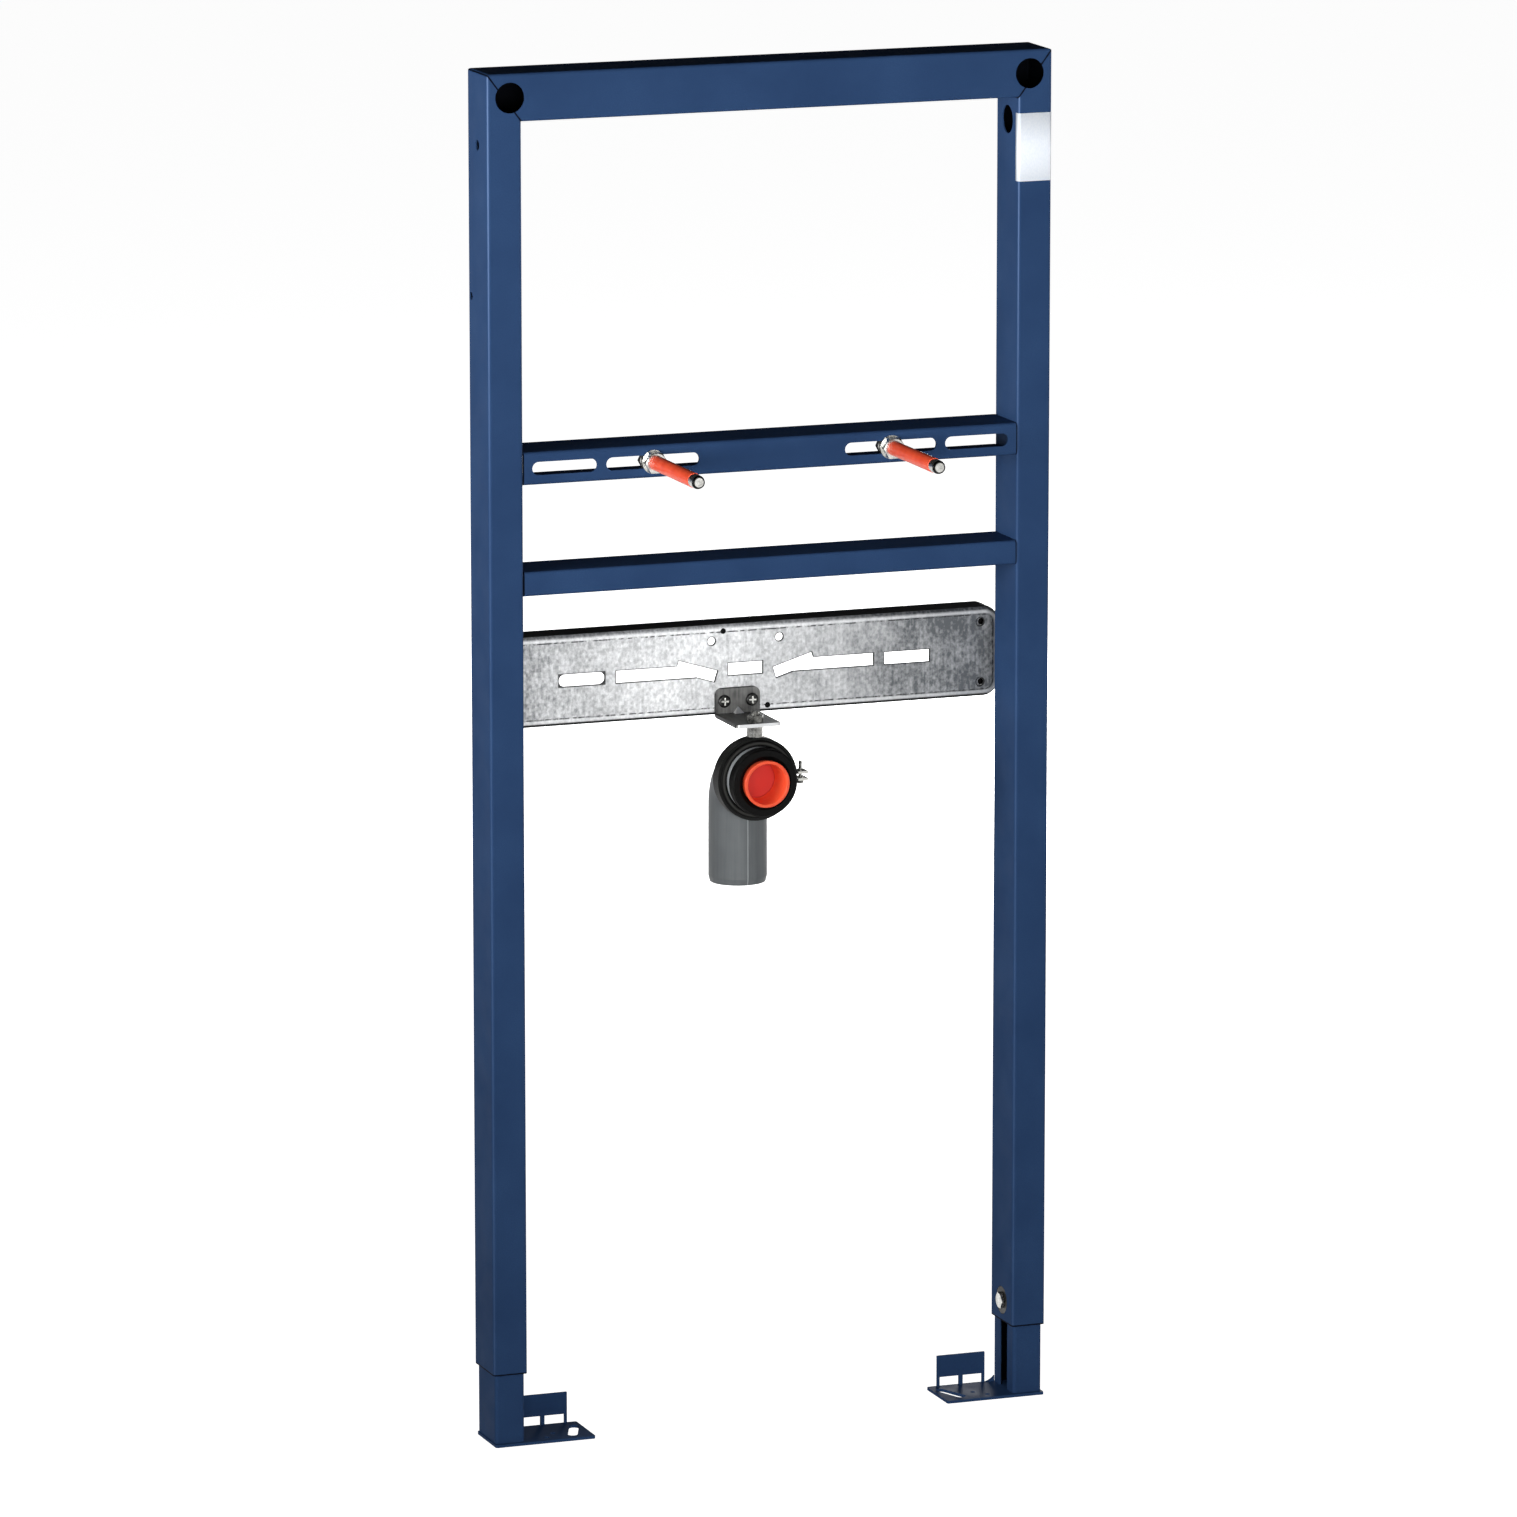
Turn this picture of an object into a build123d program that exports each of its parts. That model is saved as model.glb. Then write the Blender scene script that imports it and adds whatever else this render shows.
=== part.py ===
from build123d import *
import os

# A floor-standing steel frame that carries a wash basin in front of a dry-lined wall.
# Millimetres, +X to the right, +Y towards the wall, +Z up, origin on the floor under the middle.
# The y values below are counted back from the front plane of the two posts.
# Heights are those with both legs pushed in: raised() adds the present leg extension.

# Frame
FRAME_WIDTH = 500
FRAME_DEPTH = 50
FRAME_HEIGHT = 1130
LEG_EXTENSION = 34
POST_WIDTH = 30
POST_FOOT_HEIGHT = 28
TUBE_WALL = 1.5
TUBE_RADIUS = 2.5
TOP_BAR_HEIGHT = 40
FRAME_CORNER = 3

# Holes in the posts and the top bar
CORNER_HOLE_DIAMETER = 25.5
CORNER_HOLE_INSET_X = 20
CORNER_HOLE_INSET_Z = 20
WALL_HOLE_DIAMETER = 11
SIDE_HOLE_DROP = 61
SIDE_ACCESS_DIAMETER = 24
SIDE_HOLE_DIAMETER = 9
REAR_SIDE_HOLE_DIAMETER = 7
REAR_SIDE_HOLE_INSET = 7
REAR_SIDE_HOLE_DROP = 189

# Slotted bar that carries the basin bolts
SLOTTED_BAR_CENTRE = 800.5
SLOTTED_BAR_HEIGHT = 27.5
SLOTTED_BAR_SHEET = 2
SLOTTED_BAR_RADIUS = 3
SLOT_HEIGHT = 11
SLOT_END_INSET = 8
SLOT_BRIDGE = 8
INNER_SLOT_LENGTH = 82
OUTER_SLOT_LENGTH = 57

# Plain bar below it
LOWER_BAR_CENTRE = 703.5
LOWER_BAR_HEIGHT = 20.5

# Basin bolts
BOLT_SPACING = 212
BOLT_DIAMETER = 10
BOLT_REACH = 112
BOLT_TAIL = 18
BOLT_NUT_FLATS = 17
BOLT_NUT_HEIGHT = 8
BOLT_WASHER_DIAMETER = 20
BOLT_WASHER_THICKNESS = 2
BOLT_TIP_DIAMETER = 11.6
BOLT_TIP_ROUND = 3
SLEEVE_DIAMETER = 12.5
SLEEVE_LENGTH = 90
THREAD_CLEARANCE = 0.05

# Connection plate for the taps and the waste
PLATE_SETBACK = 65
PLATE_END_INSET = 18.5
PLATE_HEIGHT = 78
PLATE_CENTRE = 607
PLATE_DEPTH = 27
PLATE_SHEET = 2
PLATE_CORNER = 14
PLATE_BEND = 5
PLATE_SLOT_HEIGHT = 10.5
CENTRE_SLOT_LENGTH = 31
ARROW_START = 25
ARROW_END = 116
ARROW_HEAD_LENGTH = 36.5
ARROW_HEAD_HEIGHT = 9.7
ARROW_TILT = 17
OUTER_PLATE_SLOT_START = 126
OUTER_PLATE_SLOT_LENGTH = 41
TAP_HOLE_DIAMETER = 7
TAP_HOLE_X = 30.5
TAP_HOLE_RISE = 25
PIN_HOLE_DIAMETER = 5
PIN_HOLE_X = 20
PIN_HOLE_RISE = 33
END_HOLE_DIAMETER = 7
END_HOLE_INSET = 18
END_HOLE_RISE = 26
BRACKET_SHEET = 2
BRACKET_BEND = 1.5
BRACKET_HEIGHT = 48
BRACKET_INSET = 2

# Waste fitting under the plate
WASTE_X = -8
WASTE_BRACKET_WIDTH = 40
WASTE_BRACKET_RISE = 22
WASTE_BRACKET_SHEET = 3
WASTE_BRACKET_CORNER = 6
WASTE_BRACKET_BEND = 1
WASTE_BRACKET_REACH = 54
BEAD_WIDTH = 9
BEAD_REACH = 6
BRACKET_SCREW_SPACING = 25
BRACKET_SCREW_DIAMETER = 11
BRACKET_SCREW_HEIGHT = 3
SCREW_RECESS_LENGTH = 6.4
SCREW_RECESS_WIDTH = 1.5
SCREW_RECESS_DEPTH = 1.4
WASTE_CENTRE = 521.5
CLAMP_SETBACK = 20
CLAMP_WIDTH = 13
CLAMP_BAND = 2
CLAMP_LINING = 5.5
CLAMP_LINING_PROUD = 1.5
CLAMP_SPLIT = 4
CLAMP_EAR_REACH = 10
CLAMP_SCREW_DIAMETER = 3
CLAMP_SCREW_RISE = 12
STUD_DIAMETER = 8
STUD_NUT_FLATS = 13
STUD_NUT_HEIGHT = 6.5
STUD_TAIL = 3
PIPE_DIAMETER = 50
PIPE_WALL = 2
PIPE_SETBACK = 62.5
PIPE_END = 425
PIPE_BEND = 30
PIPE_CHAMFER = 5
PIPE_CHAMFER_DEPTH = 1.2
SOCKET_DIAMETER = 56
SOCKET_SHOULDER = 5
SOCKET_MOUTH = -1
SEAL_LIP = 4
SEAL_COLLAR = 1
SEAL_WRAP = 6
SEAL_EDGE = 1
SEAL_FUNNEL = 4
PLUG_DIAMETER = 38
PLUG_WALL = 1.6
PLUG_DEPTH = 30
PLUG_PROUD = 5
PLUG_RIM = 1
PLUG_RIM_DEPTH = 2
PLUG_DRAFT = 1
SEAT_CLEARANCE = 0.05

# Telescopic legs with their feet
LEG_CLEARANCE = 0.5
LEG_WALL = 2
LEG_RADIUS = 3
LEG_SLOT = 17
LEG_TOP = 300
FOOT_INSET = 1
FOOT_LENGTH = 89
FOOT_PROUD = 2
FOOT_SHEET = 2.5
FOOT_CORNER = 2
FOOT_SLOT_LENGTH = 34
FOOT_SLOT_WIDTH = 8.5
FOOT_SLOT_INSET = 12
FOOT_SLOT_Y = 21.5
FOOT_SLOT_ANGLE = 112
FOOT_HOLE_DIAMETER = 4.5
FOOT_HOLES = ((31, 18.5), (40.5, 7.5))
UPSTAND_GAP = 9
UPSTAND_LENGTH = 44
UPSTAND_HEIGHT = 29.5
UPSTAND_SHEET = 2
WINDOW_HEIGHT = 8
WINDOW_SIDE = 2.4
WINDOW_MIDDLE = 3.6
GUSSET_LENGTH = 8
GUSSET_HEIGHT = 5
GUSSET_HOLLOW = 0.4

# Leg clamps
LEG_CLAMP_RISE = 18
LEG_CLAMP_HOLE = 24.5
LEG_CLAMP_GAP = 0.4
LEG_CLAMP_PLATE_HEIGHT = 30
LEG_CLAMP_PLATE_WIDTH = 30
LEG_CLAMP_PLATE_SHEET = 4
LEG_CLAMP_BOLT = 8
LEG_CLAMP_HEAD_FLATS = 13
LEG_CLAMP_HEAD_HEIGHT = 3

# Share of a nut's width across flats kept by its end faces, and by the barrel that turns its corners
NUT_FACE = 0.95
NUT_BARREL = 1.2

# Places worked out from the sizes above
OVERCUT = 1
HALF_WIDTH = FRAME_WIDTH / 2
INNER_X = HALF_WIDTH - POST_WIDTH
POST_X = HALF_WIDTH - POST_WIDTH / 2
MID_DEPTH = FRAME_DEPTH / 2
PLATE_WIDTH = FRAME_WIDTH - 2 * PLATE_END_INSET
PLATE_REAR = PLATE_SETBACK + PLATE_DEPTH
FRONT_Y = (BOLT_REACH - PLATE_REAR) / 2
CLAMP_INNER_RADIUS = SOCKET_DIAMETER / 2 + SEAT_CLEARANCE
CLAMP_BAND_RADIUS = CLAMP_INNER_RADIUS + CLAMP_LINING
CLAMP_OUTER_RADIUS = CLAMP_BAND_RADIUS + CLAMP_BAND


def raised(height):
    return height + LEG_EXTENSION


def block(x0, x1, y0, y1, z0, z1):
    """Box between two corners."""
    middle = Pos((x0 + x1) / 2, FRONT_Y + (y0 + y1) / 2, (z0 + z1) / 2)
    return middle * Box(abs(x1 - x0), abs(y1 - y0), abs(z1 - z0))


def along_x(x0, x1, y, z, radius):
    """Cylinder along X."""
    middle = Pos((x0 + x1) / 2, FRONT_Y + y, z)
    return middle * Cylinder(radius, abs(x1 - x0), rotation=(0, 90, 0))


def along_y(x, y0, y1, z, radius):
    """Cylinder along Y."""
    middle = Pos(x, FRONT_Y + (y0 + y1) / 2, z)
    return middle * Cylinder(radius, abs(y1 - y0), rotation=(90, 0, 0))


def along_z(x, y, z0, z1, radius):
    """Cylinder along Z."""
    return Pos(x, FRONT_Y + y, (z0 + z1) / 2) * Cylinder(radius, abs(z1 - z0))


def from_front(sketch, y0, y1):
    """Prism between two depths from a sketch drawn as seen from the front."""
    back = Plane(origin=(0, FRONT_Y + y1, 0), x_dir=(1, 0, 0), z_dir=(0, -1, 0))
    return extrude(back * sketch, amount=y1 - y0)


def from_above(sketch, z0, z1):
    """Prism between two heights from a sketch drawn as seen from above."""
    return extrude(Pos(0, FRONT_Y, z0) * sketch, amount=z1 - z0)


def from_side(sketch, x0, x1):
    """Prism along X from a sketch drawn in Y and Z."""
    start = Plane(origin=(x0, FRONT_Y, 0), x_dir=(0, 1, 0), z_dir=(1, 0, 0))
    return extrude(start * sketch, amount=x1 - x0)


def hexagon(across_flats):
    return RegularPolygon(across_flats / 2, 6, major_radius=False)


def turn_corners(nut, barrel, across_flats, axis):
    """Hexagon whose corners are turned off at both ends by a barrel of chamfered shape."""
    depth = across_flats * (NUT_BARREL - NUT_FACE) / 2
    for end in (0, -1):
        face = barrel.faces().filter_by(GeomType.PLANE).sort_by(axis)[end]
        barrel = chamfer(face.edges(), depth, depth / 2, reference=face)
    return nut & barrel


def bent_angle(width, height, sheet, bend):
    """Section of a bent angle, with its legs along +X and +Y from the outer corner."""
    corners = ((0, 0), (width, 0), (width, sheet), (sheet, sheet), (sheet, height), (0, height))
    section = make_face(Polyline(*corners, close=True))
    section = fillet(section.vertices().sort_by_distance((sheet, sheet))[0], bend)
    return fillet(section.vertices().sort_by_distance((0, 0))[0], bend + sheet)


def tube_section(width, height):
    """Rectangular hollow section with rounded corners."""
    outer = RectangleRounded(width, height, TUBE_RADIUS)
    inner_radius = max(TUBE_RADIUS - TUBE_WALL, TUBE_RADIUS / 4)
    inner = RectangleRounded(width - 2 * TUBE_WALL, height - 2 * TUBE_WALL, inner_radius)
    return outer - inner


def mitre_plane(side):
    """Cut from the outer top corner to the inner corner under the top bar, facing the post."""
    inner_corner = (side * INNER_X, 0, raised(FRAME_HEIGHT - TOP_BAR_HEIGHT))
    return Plane(origin=inner_corner, z_dir=(side * TOP_BAR_HEIGHT, 0, -POST_WIDTH))


def corner_hole(side):
    """Access hole in the front wall and the wall bolt's hole behind it."""
    x = side * (HALF_WIDTH - CORNER_HOLE_INSET_X)
    z = raised(FRAME_HEIGHT - CORNER_HOLE_INSET_Z)
    access = along_y(x, -OVERCUT, TUBE_WALL + OVERCUT, z, CORNER_HOLE_DIAMETER / 2)
    rear_wall = FRAME_DEPTH - TUBE_WALL
    wall_bolt = along_y(x, rear_wall - OVERCUT, FRAME_DEPTH + OVERCUT, z, WALL_HOLE_DIAMETER / 2)
    return access + wall_bolt


def frame_outline():
    """Prism inside the frame's outer edges, with its top corners ground round."""
    outline = RectangleRounded(FRAME_WIDTH, 2 * FRAME_HEIGHT, FRAME_CORNER)
    return from_front(Pos(0, raised(0)) * outline, -OVERCUT, FRAME_DEPTH + OVERCUT)


def leg_clamp_height():
    return raised(POST_FOOT_HEIGHT + LEG_CLAMP_RISE)


def make_post(side):
    section = Pos(side * POST_X, MID_DEPTH) * tube_section(POST_WIDTH, FRAME_DEPTH)
    post = from_above(section, raised(POST_FOOT_HEIGHT), raised(FRAME_HEIGHT))
    post = split(post, bisect_by=mitre_plane(side), keep=Keep.TOP) & frame_outline()
    inner_wall = (side * (INNER_X - OVERCUT), side * (INNER_X + TUBE_WALL + OVERCUT))
    outer_wall = (side * (HALF_WIDTH - TUBE_WALL - OVERCUT), side * (HALF_WIDTH + OVERCUT))
    side_hole_z = raised(FRAME_HEIGHT - SIDE_HOLE_DROP)
    post -= corner_hole(side)
    post -= along_x(*inner_wall, MID_DEPTH, side_hole_z, SIDE_ACCESS_DIAMETER / 2)
    post -= along_x(*outer_wall, MID_DEPTH, side_hole_z, SIDE_HOLE_DIAMETER / 2)
    rear_hole_y = FRAME_DEPTH - REAR_SIDE_HOLE_INSET
    rear_hole_z = raised(FRAME_HEIGHT - REAR_SIDE_HOLE_DROP)
    post -= along_x(*outer_wall, rear_hole_y, rear_hole_z, REAR_SIDE_HOLE_DIAMETER / 2)
    post -= along_x(*inner_wall, MID_DEPTH, leg_clamp_height(), LEG_CLAMP_HOLE / 2)
    return post


def make_top_bar():
    centre = Pos(MID_DEPTH, raised(FRAME_HEIGHT - TOP_BAR_HEIGHT / 2))
    bar = from_side(centre * tube_section(FRAME_DEPTH, TOP_BAR_HEIGHT), -HALF_WIDTH, HALF_WIDTH)
    bar &= frame_outline()
    for side in (-1, 1):
        bar = split(bar, bisect_by=mitre_plane(side), keep=Keep.BOTTOM)
        bar -= corner_hole(side)
    return bar


def make_slotted_bar():
    """Channel open to the wall, with a pair of long slots on each side of its middle."""
    z = raised(SLOTTED_BAR_CENTRE)
    over = FRAME_DEPTH + SLOTTED_BAR_RADIUS * 2
    outer = Pos(over / 2, z) * RectangleRounded(over, SLOTTED_BAR_HEIGHT, SLOTTED_BAR_RADIUS)
    inner_height = SLOTTED_BAR_HEIGHT - 2 * SLOTTED_BAR_SHEET
    inner_radius = SLOTTED_BAR_RADIUS / 3
    inner = Pos(over / 2 + SLOTTED_BAR_SHEET, z) * RectangleRounded(over, inner_height, inner_radius)
    depth = Pos(MID_DEPTH, z) * Rectangle(FRAME_DEPTH, SLOTTED_BAR_HEIGHT)
    bar = from_side((outer - inner) & depth, -INNER_X, INNER_X)
    outer_start = INNER_X - SLOT_END_INSET - OUTER_SLOT_LENGTH
    inner_start = outer_start - SLOT_BRIDGE - INNER_SLOT_LENGTH
    slots = ((inner_start, INNER_SLOT_LENGTH), (outer_start, OUTER_SLOT_LENGTH))
    for side in (-1, 1):
        for start, length in slots:
            slot = Pos(side * (start + length / 2), z) * SlotOverall(length, SLOT_HEIGHT)
            bar -= from_front(slot, -OVERCUT, SLOTTED_BAR_SHEET + OVERCUT)
    return bar


def make_lower_bar():
    centre = Pos(MID_DEPTH, raised(LOWER_BAR_CENTRE))
    return from_side(centre * tube_section(FRAME_DEPTH, LOWER_BAR_HEIGHT), -INNER_X, INNER_X)


def bolt_stack():
    """Depths along a basin bolt: washers and nuts on both sides of the slotted bar's web."""
    front_washer = -BOLT_WASHER_THICKNESS
    front_nut = front_washer - BOLT_NUT_HEIGHT
    rear_washer = SLOTTED_BAR_SHEET + BOLT_WASHER_THICKNESS
    rear_nut = rear_washer + BOLT_NUT_HEIGHT
    return front_nut, front_washer, rear_washer, rear_nut


def basin_bolt_place(side):
    return side * BOLT_SPACING / 2, raised(SLOTTED_BAR_CENTRE)


def make_basin_bolt(side):
    """Threaded bolt with a thick rounded end that keeps the sleeve on."""
    x, z = basin_bolt_place(side)
    bolt = along_y(x, -BOLT_REACH, BOLT_TAIL, z, BOLT_DIAMETER / 2)
    bolt = chamfer(bolt.edges().group_by(Axis.Y)[-1], BOLT_DIAMETER / 10)
    sleeve_end = bolt_stack()[0] - SLEEVE_LENGTH
    tip = along_y(x, -BOLT_REACH, sleeve_end, z, BOLT_TIP_DIAMETER / 2)
    return bolt + fillet(tip.edges().group_by(Axis.Y)[0], BOLT_TIP_ROUND)


def make_basin_nut(side, y0, y1):
    x, z = basin_bolt_place(side)
    shape = hexagon(BOLT_NUT_FLATS) - Circle(BOLT_DIAMETER / 2 + THREAD_CLEARANCE)
    nut = from_front(Pos(x, z) * shape, y0, y1)
    barrel = along_y(x, y0, y1, z, BOLT_NUT_FLATS * NUT_BARREL / 2)
    return turn_corners(nut, barrel, BOLT_NUT_FLATS, Axis.Y)


def make_basin_nuts(side):
    front_nut, front_washer, rear_washer, rear_nut = bolt_stack()
    return make_basin_nut(side, front_nut, front_washer), make_basin_nut(side, rear_washer, rear_nut)


def make_basin_washers(side):
    x, z = basin_bolt_place(side)
    front_washer, rear_washer = bolt_stack()[1:3]
    hole = Circle(BOLT_DIAMETER / 2 + THREAD_CLEARANCE)
    shape = Pos(x, z) * (Circle(BOLT_WASHER_DIAMETER / 2) - hole)
    front = from_front(shape, front_washer, 0)
    rear = from_front(shape, SLOTTED_BAR_SHEET, rear_washer)
    return front, rear


def make_sleeve(side):
    """Plastic sleeve over the bolt's thread, from the front nut outwards."""
    x, z = basin_bolt_place(side)
    front_nut = bolt_stack()[0]
    ring = Circle(SLEEVE_DIAMETER / 2) - Circle(BOLT_DIAMETER / 2 + THREAD_CLEARANCE)
    return from_front(Pos(x, z) * ring, front_nut - SLEEVE_LENGTH, front_nut)


def plate_slots():
    """Slots of the connection plate as seen from the front, about the plate's middle."""
    slots = Rectangle(CENTRE_SLOT_LENGTH, PLATE_SLOT_HEIGHT)
    head_run = Rot(0, 0, ARROW_TILT) * Rectangle(ARROW_HEAD_LENGTH, ARROW_HEAD_HEIGHT)
    head_box = head_run.bounding_box()
    bar_start = ARROW_START + head_box.size.X / 2
    bar_length = ARROW_END - bar_start
    arrow = Pos(bar_start + bar_length / 2, 0) * Rectangle(bar_length, PLATE_SLOT_HEIGHT)
    arrow += Pos(bar_start, 0) * head_run
    slots += arrow
    slots += mirror(arrow, about=Plane.YZ)
    outer_x = OUTER_PLATE_SLOT_START + OUTER_PLATE_SLOT_LENGTH / 2
    slots += Pos(outer_x, 0) * Rectangle(OUTER_PLATE_SLOT_LENGTH, PLATE_SLOT_HEIGHT)
    slots += Pos(-outer_x, 0) * SlotOverall(OUTER_PLATE_SLOT_LENGTH, PLATE_SLOT_HEIGHT)
    return slots


def plate_holes():
    """Round holes of the connection plate, about the plate's middle."""
    end_x = PLATE_WIDTH / 2 - END_HOLE_INSET
    holes = Pos(-PIN_HOLE_X, PIN_HOLE_RISE) * Circle(PIN_HOLE_DIAMETER / 2)
    holes += Pos(PIN_HOLE_X, -PIN_HOLE_RISE) * Circle(PIN_HOLE_DIAMETER / 2)
    for side in (-1, 1):
        holes += Pos(side * TAP_HOLE_X, TAP_HOLE_RISE) * Circle(TAP_HOLE_DIAMETER / 2)
        holes += Pos(side * end_x, END_HOLE_RISE) * Circle(END_HOLE_DIAMETER / 2)
        holes += Pos(side * end_x, -END_HOLE_RISE) * Circle(END_HOLE_DIAMETER / 2)
    return holes


def pan(width, height, corner, bend, y0, y1):
    """Block with rounded corners and a rounded front edge."""
    sketch = Pos(0, raised(PLATE_CENTRE)) * RectangleRounded(width, height, corner)
    body = from_front(sketch, y0, y1)
    front_edges = body.faces().sort_by(Axis.Y)[0].edges()
    return fillet(front_edges, bend)


def make_connection_plate():
    """Galvanised sheet with all four edges bent back towards the wall."""
    twice = 2 * PLATE_SHEET
    plate = pan(PLATE_WIDTH, PLATE_HEIGHT, PLATE_CORNER, PLATE_BEND, PLATE_SETBACK, PLATE_REAR)
    inner_corner = PLATE_CORNER - PLATE_SHEET
    inner_bend = PLATE_BEND - PLATE_SHEET
    inside = PLATE_SETBACK + PLATE_SHEET
    plate -= pan(PLATE_WIDTH - twice, PLATE_HEIGHT - twice, inner_corner, inner_bend,
                 inside, PLATE_REAR + OVERCUT)
    cuts = Pos(0, raised(PLATE_CENTRE)) * (plate_slots() + plate_holes())
    return plate - from_front(cuts, PLATE_SETBACK - OVERCUT, inside + OVERCUT)


def make_plate_bracket(side):
    """Angle welded behind a post, with its other leg along the end of the plate."""
    x = PLATE_WIDTH / 2
    z0 = raised(PLATE_CENTRE - BRACKET_HEIGHT / 2)
    width = HALF_WIDTH - BRACKET_INSET - x
    section = bent_angle(width, PLATE_REAR - FRAME_DEPTH, BRACKET_SHEET, BRACKET_BEND)
    bracket = from_above(Pos(x, FRAME_DEPTH) * section, z0, z0 + BRACKET_HEIGHT)
    return bracket if side > 0 else mirror(bracket, about=Plane.YZ)


def waste_shelf():
    """Bottom and top of the waste bracket's shelf, at the foot of the plate."""
    bottom = raised(PLATE_CENTRE - PLATE_HEIGHT / 2) - WASTE_BRACKET_SHEET / 2
    return bottom, bottom + WASTE_BRACKET_SHEET


def bracket_bead(face, shelf_top):
    """Pressed bead that stiffens the bend of the waste bracket."""
    ramp = Polyline((face, shelf_top), (face - BEAD_REACH, shelf_top), (face, shelf_top + BEAD_REACH),
                    close=True)
    gable = Polyline((-BEAD_WIDTH / 2, 0), (BEAD_WIDTH / 2, 0), (0, BEAD_REACH), close=True)
    bead = from_side(make_face(ramp), WASTE_X - BEAD_WIDTH / 2, WASTE_X + BEAD_WIDTH / 2)
    return bead & from_front(Pos(WASTE_X, shelf_top) * make_face(gable), face - BEAD_REACH, face)


def make_waste_bracket():
    """Angle screwed to the plate, with a shelf that the pipe clamp hangs from."""
    shelf_bottom, shelf_top = waste_shelf()
    height = WASTE_BRACKET_RISE + WASTE_BRACKET_SHEET
    left, right = WASTE_X - WASTE_BRACKET_WIDTH / 2, WASTE_X + WASTE_BRACKET_WIDTH / 2
    section = bent_angle(WASTE_BRACKET_REACH, height, WASTE_BRACKET_SHEET, WASTE_BRACKET_BEND)
    section = Pos(PLATE_SETBACK, shelf_bottom) * mirror(section, about=Plane.YZ)
    bracket = from_side(section, left, right)
    bracket += bracket_bead(PLATE_SETBACK - WASTE_BRACKET_SHEET, shelf_top)
    upright = bracket.edges().filter_by(Axis.Y).group_by(Axis.Z)[-1]
    bracket = fillet(upright, WASTE_BRACKET_CORNER)
    front_corners = bracket.edges().filter_by(Axis.Z).group_by(Axis.Y)[0]
    bracket = fillet(front_corners, WASTE_BRACKET_CORNER / 2)
    return bracket - along_z(WASTE_X, CLAMP_SETBACK, shelf_bottom - OVERCUT, shelf_top + OVERCUT,
                             STUD_DIAMETER / 2 + THREAD_CLEARANCE)


def make_bracket_screws():
    """Two pan-head screws with cross recesses that hold the waste bracket to the plate."""
    z = waste_shelf()[1] + WASTE_BRACKET_RISE / 2
    face = PLATE_SETBACK - WASTE_BRACKET_SHEET
    top = face - BRACKET_SCREW_HEIGHT
    bar = Rectangle(SCREW_RECESS_LENGTH, SCREW_RECESS_WIDTH)
    cross = bar + Rot(0, 0, 90) * bar
    screws = []
    for side in (-1, 1):
        x = WASTE_X + side * BRACKET_SCREW_SPACING / 2
        head = along_y(x, top, face, z, BRACKET_SCREW_DIAMETER / 2)
        head = fillet(head.faces().sort_by(Axis.Y)[0].edges(), BRACKET_SCREW_HEIGHT / 2)
        screws.append(head - from_front(Pos(x, z) * cross, top - OVERCUT, top + SCREW_RECESS_DEPTH))
    return Compound(children=screws)


def make_clamp_half(part):
    """Half of the clamp's band, with an ear on its open side: part is 1 above, -1 below."""
    z = raised(WASTE_CENTRE)
    y0 = CLAMP_SETBACK - CLAMP_WIDTH / 2
    y1 = CLAMP_SETBACK + CLAMP_WIDTH / 2
    gap = part * CLAMP_SPLIT / 2
    far = part * (CLAMP_OUTER_RADIUS + OVERCUT)
    reach = CLAMP_OUTER_RADIUS + CLAMP_EAR_REACH + OVERCUT
    ring = Circle(CLAMP_OUTER_RADIUS) - Circle(CLAMP_BAND_RADIUS)
    half = from_front(Pos(WASTE_X, z) * ring, y0, y1)
    ear_top = gap + part * CLAMP_BAND
    ear_root = CLAMP_OUTER_RADIUS - CLAMP_BAND / 2
    ear_tip = CLAMP_OUTER_RADIUS + CLAMP_EAR_REACH
    half += block(WASTE_X + ear_root, WASTE_X + ear_tip, y0, y1, z + gap, z + ear_top)
    closed_side = block(WASTE_X - reach, WASTE_X, y0, y1, z, z + far)
    half &= closed_side + block(WASTE_X, WASTE_X + reach, y0, y1, z + gap, z + far)
    screw_x = clamp_screw_x()
    hole = CLAMP_SCREW_DIAMETER / 2 + THREAD_CLEARANCE
    return half - along_z(screw_x, CLAMP_SETBACK, z - reach, z + reach, hole)


def clamp_screw_x():
    return WASTE_X + CLAMP_OUTER_RADIUS + CLAMP_EAR_REACH / 2


def make_clamp_screw():
    """Screw through both ears, with its head below and its thread standing up."""
    z = raised(WASTE_CENTRE)
    ears = CLAMP_SPLIT / 2 + CLAMP_BAND
    radius = CLAMP_SCREW_DIAMETER / 2
    screw = along_z(clamp_screw_x(), CLAMP_SETBACK, z - ears, z + CLAMP_SCREW_RISE, radius)
    screw += along_z(clamp_screw_x(), CLAMP_SETBACK, z - ears - 2 * radius, z - ears, 2 * radius)
    return screw


def about_socket(profile):
    """Solid turned about the waste socket's axis from a profile in radius and depth."""
    origin = (WASTE_X, FRONT_Y, raised(WASTE_CENTRE))
    half_plane = Plane(origin=origin, x_dir=(1, 0, 0), z_dir=(0, 0, 1))
    return revolve(half_plane * profile, axis=Axis(origin, (0, 1, 0)))


def make_clamp_lining():
    """Rubber lining between the band and the pipe, rounded where it stands proud of the band."""
    thickness = CLAMP_LINING - SEAT_CLEARANCE
    section = RectangleRounded(thickness, CLAMP_WIDTH + 2 * CLAMP_LINING_PROUD, CLAMP_LINING_PROUD)
    return about_socket(Pos(CLAMP_INNER_RADIUS + thickness / 2, CLAMP_SETBACK) * section)


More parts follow.
